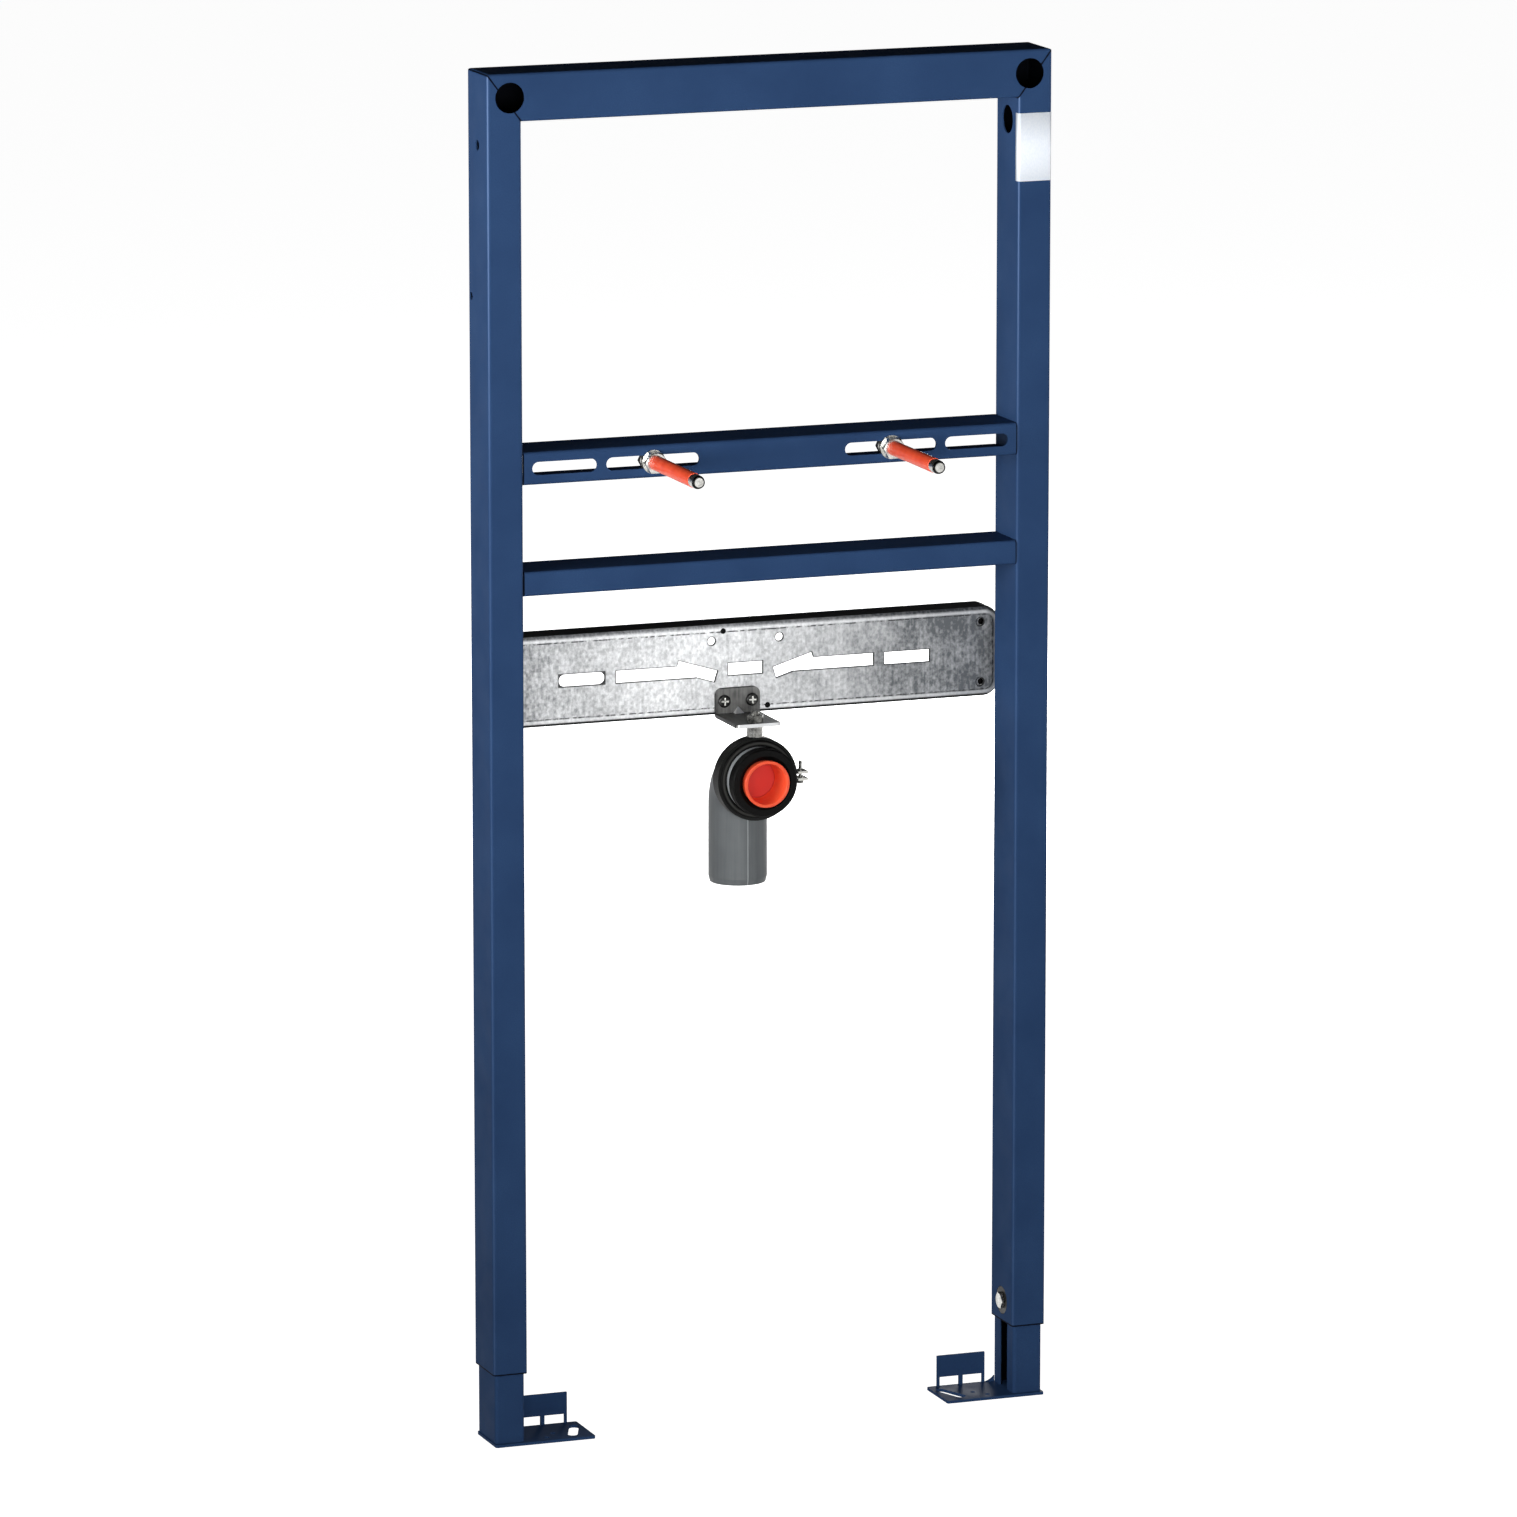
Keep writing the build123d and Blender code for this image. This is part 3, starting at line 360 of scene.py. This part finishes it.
def posts_edge_highlight(coat):
    """Painted highlight on the rounded front edges of the posts, most so near the top."""
    across = coat.math("ABSOLUTE", coat.x)
    from_side = coat.math("MINIMUM", coat.math("SUBTRACT", across, post_low.x),
                          coat.math("SUBTRACT", post_high.x, across))
    depth = coat.math("SUBTRACT", coat.y, post_low.y)
    painted_edge = coat.fade(coat.math("ADD", from_side, depth), *EDGE_HIGHLIGHT)
    return coat.math("MULTIPLY", painted_edge, coat.spread(coat.z, *EDGE_HIGHLIGHT_BY_HEIGHT))


def powder_coat(name, seam=None, edge_highlight=None, inside_shade=None):
    """Satin powder coat with fine orange peel, dark at joints, with painted shade and highlights
    where masks say so.
    """
    coat = Finish(name, specular=0.008)
    cloud = coat.spread(coat.noise(14, detail=4), 0.32, 0.68)
    fleck = coat.spread(coat.noise(900, detail=2), 0.35, 0.65, 0.0, 0.5)
    peel = coat.noise(650, detail=2)
    colour = coat.mix(cloud, POWDER_DEEP, POWDER_BLUE)
    colour = coat.mix(fleck, colour, POWDER_DEEP)
    # masks for a painted highlight, for joint lines with painted shade, and for painted shade
    # inside tubes
    for mask, tint in ((edge_highlight, POWDER_EDGE_HIGHLIGHT), (seam, POWDER_SEAM_AND_SHADE), (inside_shade, POWDER_INSIDE_SHADE)):
        if mask:
            colour = coat.mix(mask(coat), colour, tint)
    coat.sets(Base_Color=colour, Roughness=coat.level(coat.noise(40), 0.42, 0.55))
    coat.bump(peel, depth=0.06 * MM, strength=0.5)
    return coat.material


def plate_margin(zinc):
    """Depth inside the connection plate's rounded outline, seen from the front."""
    across = zinc.math("SUBTRACT", zinc.math("ABSOLUTE", zinc.x), plate_high.x - PLATE_CORNER)
    up = zinc.math("ABSOLUTE", zinc.math("SUBTRACT", zinc.z, plate_z))
    up = zinc.math("SUBTRACT", up, plate_high.z - plate_z - PLATE_CORNER)
    corner = zinc.hypot(zinc.math("MAXIMUM", across, 0.0), zinc.math("MAXIMUM", up, 0.0))
    straight = zinc.math("MINIMUM", zinc.math("MAXIMUM", across, up), 0.0)
    return zinc.math("SUBTRACT", PLATE_CORNER, zinc.math("ADD", corner, straight))


def slot_distance(zinc, along, up, half_length, half_height):
    """Distance from a rectangular cut-out, from places counted from its middle."""
    past_end = zinc.math("SUBTRACT", zinc.math("ABSOLUTE", along), half_length)
    past_side = zinc.math("SUBTRACT", zinc.math("ABSOLUTE", up), half_height)
    return zinc.hypot(zinc.math("MAXIMUM", past_end, 0.0), zinc.math("MAXIMUM", past_side, 0.0))


def arrow_head_distance(zinc, across, up):
    """Distance from the tilted slot that makes the head of each arrow."""
    along = zinc.math("SUBTRACT", across, ARROW_HEAD_X)
    cosine, sine = math.cos(math.radians(ARROW_TILT)), math.sin(math.radians(ARROW_TILT))
    head_along = zinc.math("ADD", zinc.math("MULTIPLY", along, cosine),
                           zinc.math("MULTIPLY", up, sine))
    head_up = zinc.math("SUBTRACT", zinc.math("MULTIPLY", up, cosine),
                        zinc.math("MULTIPLY", along, sine))
    return slot_distance(zinc, head_along, head_up, *ARROW_HEAD_HALF)


def cut_out_distance(zinc):
    """Distance from the nearest slot or hole of the plate, which is alike on both sides."""
    across = zinc.math("ABSOLUTE", zinc.x)
    up = zinc.math("SUBTRACT", zinc.z, plate_z)
    nearest = arrow_head_distance(zinc, across, up)
    for middle, half_length in SLOTS:
        along = zinc.math("SUBTRACT", across, middle)
        distance = slot_distance(zinc, along, up, half_length, SLOT_HALF_HEIGHT)
        nearest = zinc.math("MINIMUM", nearest, distance)
    for height, (x, z) in ((up, TAP_HOLE), (zinc.math("ABSOLUTE", up), END_HOLE)):
        from_middle = zinc.hypot(zinc.math("SUBTRACT", across, x),
                                 zinc.math("SUBTRACT", height, z))
        distance = zinc.math("SUBTRACT", from_middle, HOLE_RADIUS)
        nearest = zinc.math("MINIMUM", nearest, distance)
    return nearest


def plate_shade(zinc, margin):
    """Painted shade: 1 on the plate's flanges, along its lower and right bends, and on and beside
    cut edges.
    """
    depth = zinc.math("SUBTRACT", zinc.y, plate_low.y)
    in_bend = zinc.math("LESS_THAN", depth, BEND_DEPTH)
    lower = zinc.fade(zinc.math("SUBTRACT", zinc.z, plate_low.z), *LOWER_BEND_SHADE)
    right = zinc.fade(zinc.math("SUBTRACT", plate_high.x, zinc.x), *RIGHT_BEND_SHADE)
    bends = zinc.math("MULTIPLY", in_bend, zinc.math("MAXIMUM", lower, right))
    flanges = zinc.fade(margin, *FLANGE_SHADE)
    in_sheet = zinc.math("LESS_THAN", depth, CUT_EDGE_DEPTH)
    cut_edge_shade = zinc.fade(cut_out_distance(zinc), *CUT_EDGE_SHADE)
    cut_edge_shade = zinc.math("MULTIPLY", in_sheet, cut_edge_shade)
    return zinc.math("MAXIMUM", cut_edge_shade, zinc.math("MAXIMUM", flanges, bends))


def plate_tone_and_painted_light(zinc, mottle):
    """Mottle, clouds and streaks, on painted light that falls off towards both ends of the plate.
    """
    tone = zinc.math("MULTIPLY", zinc.level(mottle, -0.34, 0.34), zinc.spread(zinc.x, *MOTTLE_BY_X))
    clouds, streaks = zinc.noise(26, detail=4), zinc.noise(420, stretch=(1.0, 1.0, 0.06))
    for noise, reach in ((clouds, 0.16), (streaks, 0.1)):
        tone = zinc.math("ADD", tone, zinc.level(noise, -reach, reach))
    # painted light along X, bright left of the middle and shaded towards the right
    for by_x in (LEFT_PAINTED_LIGHT_BY_X, RIGHT_PAINTED_LIGHT_BY_X):
        tone = zinc.math("ADD", tone, zinc.spread(zinc.x, *by_x))
    return tone


def galvanised():
    """Galvanised sheet, mottled, streaked, creased by its bends; painted light, bend highlights and
    edge shade.
    """
    zinc = Finish("galvanised", specular=0.2)
    margin = plate_margin(zinc)
    # painted shade on flanges, bends and cut edges, which also makes them less metallic and rougher
    dull = plate_shade(zinc, margin)
    crease = zinc.line(zinc.math("SUBTRACT", margin, CREASE_MARGIN), *CREASE_LINE)
    crease = zinc.math("MULTIPLY", crease, zinc.spread(zinc.noise(240), 0.4, 0.55))
    bend_highlight = zinc.line(zinc.math("SUBTRACT", margin, HIGHLIGHT_MARGIN), *HIGHLIGHT_LINE)
    mottle = zinc.noise(380, stretch=(1.0, 1.0, 0.8))
    # tone holds the mottle, streaks and the painted light along X
    tone = plate_tone_and_painted_light(zinc, mottle)
    colour = zinc.mix(zinc.spread(tone, -0.7, 0.7), *SHEET_ZINC)
    colour = zinc.mix(zinc.math("MULTIPLY", bend_highlight, HIGHLIGHT_SHARE), colour, SHEET_HIGHLIGHT)
    colour = zinc.mix(crease, colour, SHEET_CREASE)
    zinc.sets(Base_Color=zinc.mix(dull, colour, SHEET_SHADE),
              Metallic=zinc.spread(dull, 0.0, 1.0, 0.75, 0.1),
              Roughness=zinc.spread(zinc.math("ADD", tone, dull), -0.5, 1.2, 0.52, 0.7))
    zinc.bump(mottle, depth=0.05 * MM, strength=0.4)
    return zinc.material


def dull_steel(name, greys, tints=()):
    """Grey sheet steel with rolling marks, tinted where masks say so."""
    steel = Finish(name, metallic=0.7)
    rolled = steel.noise(500, stretch=(1.0, 0.08, 0.08))
    cloud = steel.noise(90, detail=4)
    tone = steel.math("ADD", steel.level(rolled, 0.0, 0.5), steel.level(cloud, 0.0, 0.5))
    colour = steel.mix(tone, *greys)
    for mask, tint in tints:
        colour = steel.mix(mask(steel), colour, tint)
    steel.sets(Base_Color=colour, Roughness=steel.level(cloud, 0.32, 0.5))
    steel.bump(rolled, depth=0.04 * MM, strength=0.4)
    return steel.material


def bracket_edge_shade(steel):
    """Painted shade on the cut edges of the waste bracket's upright leg: its left side and its top.
    """
    left = steel.math("LESS_THAN", steel.x, bracket_low.x + CUT_DEPTH)
    top = steel.math("GREATER_THAN", steel.z, bracket_high.z - CUT_DEPTH)
    return steel.math("MAXIMUM", left, top)


def bracket_highlights(steel):
    """Painted highlights on the waste bracket: the front of its shelf and the bead in its bend."""
    front = steel.math("LESS_THAN", steel.y, bracket_low.y + CUT_DEPTH)
    upright = bracket_high.y - BRACKET_SHEET
    shelf = bracket_low.z + BRACKET_SHEET
    bead_highlight = steel.math("MULTIPLY", steel.between(steel.y, upright - BEAD_REACH, upright - BEAD_GAP),
                      steel.math("GREATER_THAN", steel.z, shelf + BEAD_GAP))
    return steel.math("MAXIMUM", front, bead_highlight)


def bolt_tip(plated):
    """Painted shade in a ring round the tip of each basin bolt."""
    axis_x, axis_z = (bolt_low.x + bolt_high.x) / 2, (bolt_low.z + bolt_high.z) / 2
    across = plated.math("SUBTRACT", plated.math("ABSOLUTE", plated.x), axis_x)
    from_axis = plated.hypot(across, plated.math("SUBTRACT", plated.z, axis_z))
    rim = plated.spread(from_axis, BOLT_TIP_RADIUS - BOLT_TIP_SOFT, BOLT_TIP_RADIUS + BOLT_TIP_SOFT)
    return plated.math("MULTIPLY", rim,
                       plated.math("LESS_THAN", plated.y, bolt_low.y + BOLT_TIP_DEPTH))


def zinc_plate(name, greys, shade=None):
    """Zinc plate on fasteners, slightly cloudy, with painted shade where a mask says so."""
    plated = Finish(name, metallic=1.0)
    colour = plated.mix(plated.level(plated.noise(260, detail=4)), *greys)
    if shade:
        colour = plated.mix(shade(plated), colour, ZINC_SHADE)
    plated.sets(Base_Color=colour, Roughness=plated.level(plated.noise(700), 0.2, 0.34))
    plated.bump(plated.noise(1500, detail=2), depth=0.02 * MM, strength=0.4)
    return plated.material


def screw_heads():
    """Darkened screw heads, with painted highlights in their recesses."""
    plated = Finish("screw_heads", metallic=0.9)
    start, full = RECESS_DEPTH
    recess_highlight = plated.spread(plated.y, screws_low.y + start, screws_low.y + full)
    half_spacing = (screws_high.x - screws_low.x - screws_high.z + screws_low.z) / 2
    from_middle = plated.math("ABSOLUTE", plated.math("SUBTRACT", plated.x, socket_x))
    across = plated.math("SUBTRACT", from_middle, half_spacing)
    up = plated.math("SUBTRACT", plated.z, (screws_low.z + screws_high.z) / 2)
    in_reach = plated.math("LESS_THAN", plated.hypot(across, up), RECESS_RADIUS)
    recess_highlight = plated.math("MULTIPLY", recess_highlight, in_reach)
    dark_head = plated.mix(plated.level(plated.noise(500)), *SCREW_DARK)
    plated.sets(Base_Color=plated.mix(recess_highlight, dark_head, SCREW_RECESS_HIGHLIGHT),
                Roughness=plated.level(plated.noise(700), 0.25, 0.4))
    return plated.material


def socket_radius(finish):
    """Distance from the waste socket's axis."""
    across = finish.math("SUBTRACT", finish.x, socket_x)
    return finish.hypot(across, finish.math("SUBTRACT", finish.z, socket_z))


def ripple(finish, value, pitch):
    """Smooth waves of that pitch, between 0 and 1."""
    wave = finish.math("SINE", finish.math("MULTIPLY", value, 2 * math.pi / pitch))
    return finish.spread(wave, -1.0, 1.0)


def clamp_band():
    """Black coated band with fine ribs round it, and bare plated ears."""
    band = Finish("clamp_band", specular=0.15)
    right = socket_x + band_radius
    ear = band.spread(band.x, *(right + start for start in EAR_START))
    black = band.mix(band.level(band.noise(300, detail=4)), *BAND_BLACK)
    band.sets(Base_Color=band.mix(ear, black, BAND_EAR), Metallic=ear,
              Roughness=band.spread(ear, 0.0, 1.0, 0.5, 0.26))
    band.bump(ripple(band, band.y, RIB_PITCH), depth=0.25 * MM, strength=0.6)
    return band.material


def black_rubber():
    """Matt rubber with faint rings and dust, with a painted highlight along the bead of the clamp's
    lining.
    """
    rubber = Finish("black_rubber", specular=0.08)
    radius = socket_radius(rubber)
    dust = rubber.spread(rubber.noise(420, detail=5), 0.4, 0.75)
    bead_highlight = rubber.line(rubber.math("SUBTRACT", radius, band_radius - LINING_BEAD), *BEAD_HIGHLIGHT_LINE)
    colour = rubber.mix(dust, *RUBBER_BLACK)
    rubber.sets(Base_Color=rubber.mix(bead_highlight, colour, RUBBER_BEAD_HIGHLIGHT),
                Roughness=rubber.spread(dust, 0.0, 1.0, 0.48, 0.7))
    rubber.bump(ripple(rubber, radius, RING_PITCH), depth=0.12 * MM, strength=0.5)
    return rubber.material


def grey_plastic():
    """Grey pipe plastic, streaked, with a painted highlight at its mouth and a fine seam in its
    plane of symmetry.
    """
    pipe = Finish("grey_plastic", specular=0.4)
    streak = pipe.noise(300, stretch=(1.0, 1.0, 0.05))
    cloud = pipe.noise(60, detail=4)
    tone = pipe.math("ADD", pipe.level(streak, 0.0, 0.6), pipe.level(cloud, 0.0, 0.4))
    seam = pipe.line(pipe.math("SUBTRACT", pipe.x, socket_x), *PIPE_SEAM_LINE)
    mouth_highlight = pipe.fade(pipe.y, band_low.y, band_low.y + PIPE_MOUTH)
    colour = pipe.mix(mouth_highlight, pipe.mix(tone, *PIPE_GREY), PIPE_MOUTH_HIGHLIGHT)
    pipe.sets(Base_Color=pipe.mix(seam, colour, PIPE_SEAM),
              Roughness=pipe.level(cloud, 0.36, 0.5))
    relief = pipe.math("ADD", seam, pipe.math("MULTIPLY", streak, 0.3))
    pipe.bump(relief, depth=0.25 * MM, strength=0.5)
    return pipe.material


def orange_plastic():
    """Orange-red polyethylene, cloudy and waxy, with painted light in the plug and painted shade on
    its floor.
    """
    wax = Finish("orange_plastic", specular=0.4)
    colour = wax.mix(wax.level(wax.noise(130, detail=4)), *ORANGE)
    in_cup = wax.math("LESS_THAN", socket_radius(wax), plug_high.x - socket_x - CUP_WALL)
    colour = wax.mix(in_cup, colour, ORANGE_CUP_LIGHT)
    # painted shade on the plug's floor
    floor = wax.spread(wax.y, *(plug_high.y - height for height in CUP_FLOOR))
    colour = wax.mix(wax.math("MULTIPLY", in_cup, floor), colour, ORANGE_FLOOR_SHADE)
    wax.sets(Base_Color=colour, Roughness=wax.level(wax.noise(260), 0.34, 0.5))
    wax.bump(wax.noise(800), depth=0.05 * MM, strength=0.4)
    return wax.material


def label_paper():
    """White label stock with a faint fibre."""
    paper = Finish("label_paper", specular=0.4)
    fibre = paper.level(paper.noise(1200, stretch=(1.0, 1.0, 0.4)))
    paper.sets(Base_Color=paper.mix(fibre, *LABEL_WHITE),
               Roughness=paper.spread(fibre, 0.0, 1.0, 0.45, 0.55))
    paper.bump(fibre, depth=0.03 * MM, strength=0.3)
    return paper.material


def nut_finish(face, back):
    """Zinc plate on a blind nut, and painted shade in its bore."""
    plated = Finish("nut_zinc", metallic=0.8)
    in_depth = plated.between(plated.y, face + NUT_EDGE, back - NUT_WALL / 2)
    in_bore = plated.math("LESS_THAN", plated.hypot(plated.x, plated.z), NUT_BORE + NUT_SLACK)
    bore_shade = plated.math("MULTIPLY", in_depth, in_bore)
    cloud = plated.mix(plated.level(plated.noise(400)), *NUT_ZINC)
    plated.sets(Base_Color=plated.mix(bore_shade, cloud, NUT_BORE_SHADE),
                Roughness=plated.spread(bore_shade, 0.0, 1.0, 0.3, 0.7))
    return plated.material


def new_object(name, data):
    thing = bpy.data.objects.new(name, data)
    scene.collection.objects.link(thing)
    return thing


def corner_points(middle_x, start, turn, steps):
    """Points of the label round one of the post's front corners, seen from above."""
    reach = POST_CORNER + LABEL_SHEET
    middle_y = post_low.y + POST_CORNER
    points = []
    for step in range(steps + 1):
        angle = start + step / steps * turn
        points.append((middle_x + reach * math.cos(angle), middle_y + reach * math.sin(angle)))
    return points


def label_profile():
    """The label from above: on the post's inner side, round that corner and over the front."""
    side = (post_low.x - LABEL_SHEET, post_low.y + POST_CORNER + LABEL_WRAP)
    inner = corner_points(post_low.x + POST_CORNER, math.pi, math.pi / 2, INNER_STEPS)
    outer = corner_points(post_high.x - POST_CORNER, 1.5 * math.pi, math.pi / 3, OUTER_STEPS)
    return [side, *inner, *outer]


def make_label():
    """Bare label wrapped round the inner front corner of the right post."""
    mesh = bpy.data.meshes.new("label")
    sheet = bmesh.new()
    rows = []
    for x, y in label_profile():
        rows.append((sheet.verts.new((x, y, LABEL_LOW)), sheet.verts.new((x, y, LABEL_HIGH))))
    for (low, high), (next_low, next_high) in zip(rows, rows[1:]):
        sheet.faces.new((low, next_low, next_high, high)).smooth = True
    sheet.to_mesh(mesh)
    sheet.free()
    label = new_object("label", mesh)
    thickness = label.modifiers.new("thickness", "SOLIDIFY")
    thickness.thickness = LABEL_SHEET
    thickness.offset = LABEL_OFFSET
    mesh.materials.append(label_paper())
    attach(label, "frame")


def turned(name, profile, place, finish):
    """Small fitting turned about an axis along Y, from a profile in radius and depth."""
    mesh = bpy.data.meshes.new(name)
    lathe = bmesh.new()
    points = [lathe.verts.new((radius, depth, 0.0)) for radius, depth in profile]
    line = [lathe.edges.new(pair) for pair in zip(points, points[1:])]
    bmesh.ops.spin(lathe, geom=points + line, axis=(0, 1, 0), cent=(0, 0, 0), angle=2 * math.pi,
                   steps=LATHE_STEPS)
    bmesh.ops.remove_doubles(lathe, verts=lathe.verts, dist=WELD_GAP)
    bmesh.ops.recalc_face_normals(lathe, faces=lathe.faces)
    lathe.to_mesh(mesh)
    lathe.free()
    fitting = new_object(name, mesh)
    fitting.location = place
    mesh.materials.append(finish)
    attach(fitting, "frame")


def make_plate_fittings():
    """Plugs in the plate's two small holes, and blind nuts behind the holes at its ends."""
    pin = [(0.0, PIN_RECESS), (PIN_RADIUS, PIN_RECESS), (PIN_RADIUS, PIN_END), (0.0, PIN_END)]
    black = black_rubber()
    for number, side in enumerate((-1, 1)):
        place = (side * PIN_HOLE[0], plate_low.y, plate_z - side * PIN_HOLE[1])
        turned(f"plate_pin_{number}", pin, place, black)
    face = PLATE_SHEET + NUT_GAP
    back = face + NUT_DEPTH
    floor = back - NUT_WALL
    nut = [(0.0, floor), (NUT_BORE, floor), (NUT_BORE, face),
           (NUT_RADIUS, face), (NUT_RADIUS, back), (0.0, back)]
    plated = nut_finish(face, back)
    corners = [(x, z) for x in (-1, 1) for z in (-1, 1)]
    for number, (x, z) in enumerate(corners):
        place = (x * END_HOLE[0] + NUT_SHIFT, plate_low.y, plate_z + z * END_HOLE[1])
        turned(f"plate_nut_{number}", nut, place, plated)


def paint(finish, *names):
    """Gives nodes one finish in place of their plain slot colours."""
    for name in names:
        mesh = nodes[name].data
        mesh.materials.clear()
        mesh.materials.append(finish)


def both(*tails):
    return [f"{side}_{tail}" for side in ("left", "right") for tail in tails]


def paint_nodes():
    # posts, top bar and legs get painted shade inside; posts also painted shade low and a painted
    # highlight on front edges
    paint(powder_coat("powder_coat_post", post_seams_and_shade, posts_edge_highlight, frame_inside_shade), *both("post"))
    paint(powder_coat("powder_coat_top", mitre_seam, inside_shade=frame_inside_shade), "top_bar")
    paint(powder_coat("powder_coat_bar", bar_end_seam), "slotted_bar", "lower_bar")
    paint(powder_coat("powder_coat_leg", inside_shade=leg_inside_shade), *both("leg"))
    paint(powder_coat("powder_coat"), *both("plate_bracket", "foot_plate"))
    paint(galvanised(), "connection_plate")
    # waste bracket: painted shade on its cut edges, painted highlights on its shelf front and bead
    paint(dull_steel("bracket_steel", BRACKET_STEEL,
                     ((bracket_edge_shade, BRACKET_EDGE_SHADE), (bracket_highlights, BRACKET_HIGHLIGHT))), "waste_bracket")
    # leg clamps: a darker copy of the steel, as painted shade
    paint(dull_steel("shaded_clamp_steel", SHADED_CLAMP_STEEL), *both("leg_clamp_disc", "leg_clamp_plate"))
    paint(screw_heads(), "waste_bracket_screws")
    paint(zinc_plate("dull_zinc", DULL_ZINC),
          "pipe_clamp_screw", "pipe_clamp_stud", "pipe_clamp_top_nut")
    # the lower stud nut gets a darker copy of the zinc, as painted shade
    paint(zinc_plate("shaded_zinc", SHADED_ZINC), "pipe_clamp_lower_nut")
    paint(zinc_plate("bright_zinc", BRIGHT_ZINC),
          *both("leg_clamp_bolt", "basin_front_nut", "basin_rear_nut",
                "basin_front_washer", "basin_rear_washer"))
    paint(zinc_plate("bolt_zinc", BRIGHT_ZINC, bolt_tip), *both("basin_bolt"))
    paint(clamp_band(), "pipe_clamp_upper", "pipe_clamp_lower")
    paint(black_rubber(), "pipe_clamp_lining", "socket_seal")
    paint(grey_plastic(), "waste_elbow")
    paint(orange_plastic(), "socket_plug", *both("basin_sleeve"))


def softbox(name, place, aim, size, power, spread):
    """Rectangular studio lamp."""
    lamp = bpy.data.lights.new(name, "AREA")
    lamp.shape = "RECTANGLE"
    lamp.size, lamp.size_y = size
    lamp.energy = power
    lamp.spread = math.radians(spread)
    holder = new_object(name, lamp)
    holder.location = place
    holder.rotation_euler = (Vector(aim) - Vector(place)).to_track_quat("-Z", "Y").to_euler()
    holder.visible_camera = False


def softball(name, place, radius, power):
    """Round studio lamp."""
    lamp = bpy.data.lights.new(name, "POINT")
    lamp.shadow_soft_size = radius
    lamp.energy = power
    holder = new_object(name, lamp)
    holder.location = place
    holder.visible_camera = False


def make_lamps():
    """Soft light from the front and the left, from behind and the right, low for dark top faces."""
    softbox("front_box", place=(-0.7, -3.0, 1.05), aim=(0.0, 0.0, 1.1), size=(2.2, 0.8),
            power=17, spread=78)
    softbox("left_box", place=(-3.0, -0.9, 1.05), aim=(0.0, 0.0, 1.2), size=(1.8, 0.8),
            power=13, spread=58)
    softball("rear_ball", place=(1.8, 3.4, 0.35), radius=0.45, power=130)
    softball("right_ball", place=(3.4, -0.4, 0.35), radius=0.45, power=75)


def make_world():
    """Dark studio above, pale towards the horizon."""
    world = bpy.data.worlds.new("studio")
    scene.world = world
    world.use_nodes = True
    tree = world.node_tree
    place = tree.nodes.new("ShaderNodeTexCoord")
    split = tree.nodes.new("ShaderNodeSeparateXYZ")
    ramp = tree.nodes.new("ShaderNodeValToRGB")
    for element, (position, grey) in zip(ramp.color_ramp.elements, HORIZON):
        element.position = position
        element.color = grey
    tree.links.new(place.outputs["Generated"], split.inputs[0])
    tree.links.new(split.outputs[2], ramp.inputs[0])
    tree.links.new(ramp.outputs[0], tree.nodes["Background"].inputs[0])


def floor_finish():
    """White floor that looks lit through to the camera and in reflections, and keeps shadows."""
    finish = bpy.data.materials.new("floor")
    finish.use_nodes = True
    tree = finish.node_tree
    tree.nodes.remove(tree.nodes["Principled BSDF"])
    path = tree.nodes.new("ShaderNodeLightPath")
    seen = path.outputs["Is Camera Ray"]
    for ray in ("Is Glossy Ray", "Is Transmission Ray"):
        either = tree.nodes.new("ShaderNodeMath")
        either.operation = "MAXIMUM"
        tree.links.new(seen, either.inputs[0])
        tree.links.new(path.outputs[ray], either.inputs[1])
        seen = either.outputs[0]
    glow = tree.nodes.new("ShaderNodeMath")
    glow.operation = "MULTIPLY"
    glow.inputs[1].default_value = FLOOR_GLOW
    tree.links.new(seen, glow.inputs[0])
    light = tree.nodes.new("ShaderNodeEmission")
    tree.links.new(glow.outputs[0], light.inputs["Strength"])
    matt = tree.nodes.new("ShaderNodeBsdfDiffuse")
    matt.inputs["Color"].default_value = FLOOR_GREY
    both_shaders = tree.nodes.new("ShaderNodeAddShader")
    tree.links.new(light.outputs[0], both_shaders.inputs[0])
    tree.links.new(matt.outputs[0], both_shaders.inputs[1])
    tree.links.new(both_shaders.outputs[0], tree.nodes["Material Output"].inputs["Surface"])
    return finish


def make_floor():
    mesh = bpy.data.meshes.new("floor")
    plane = bmesh.new()
    bmesh.ops.create_grid(plane, x_segments=1, y_segments=1, size=FLOOR_SIZE / 2)
    plane.to_mesh(mesh)
    plane.free()
    mesh.materials.append(floor_finish())
    floor = new_object("floor", mesh)
    floor.location.z = FLOOR_LEVEL


def make_camera():
    lens = bpy.data.cameras.new("camera")
    lens.lens = CAMERA_LENS
    lens.clip_end = FLOOR_SIZE
    camera = new_object("camera", lens)
    camera.location = CAMERA_PLACE
    camera.rotation_euler = (math.radians(CAMERA_TILT), 0.0, math.radians(CAMERA_TURN))
    scene.camera = camera


scene.view_settings.view_transform = "Standard"
paint_nodes()
make_label()
make_plate_fittings()
make_lamps()
make_world()
make_floor()
make_camera()
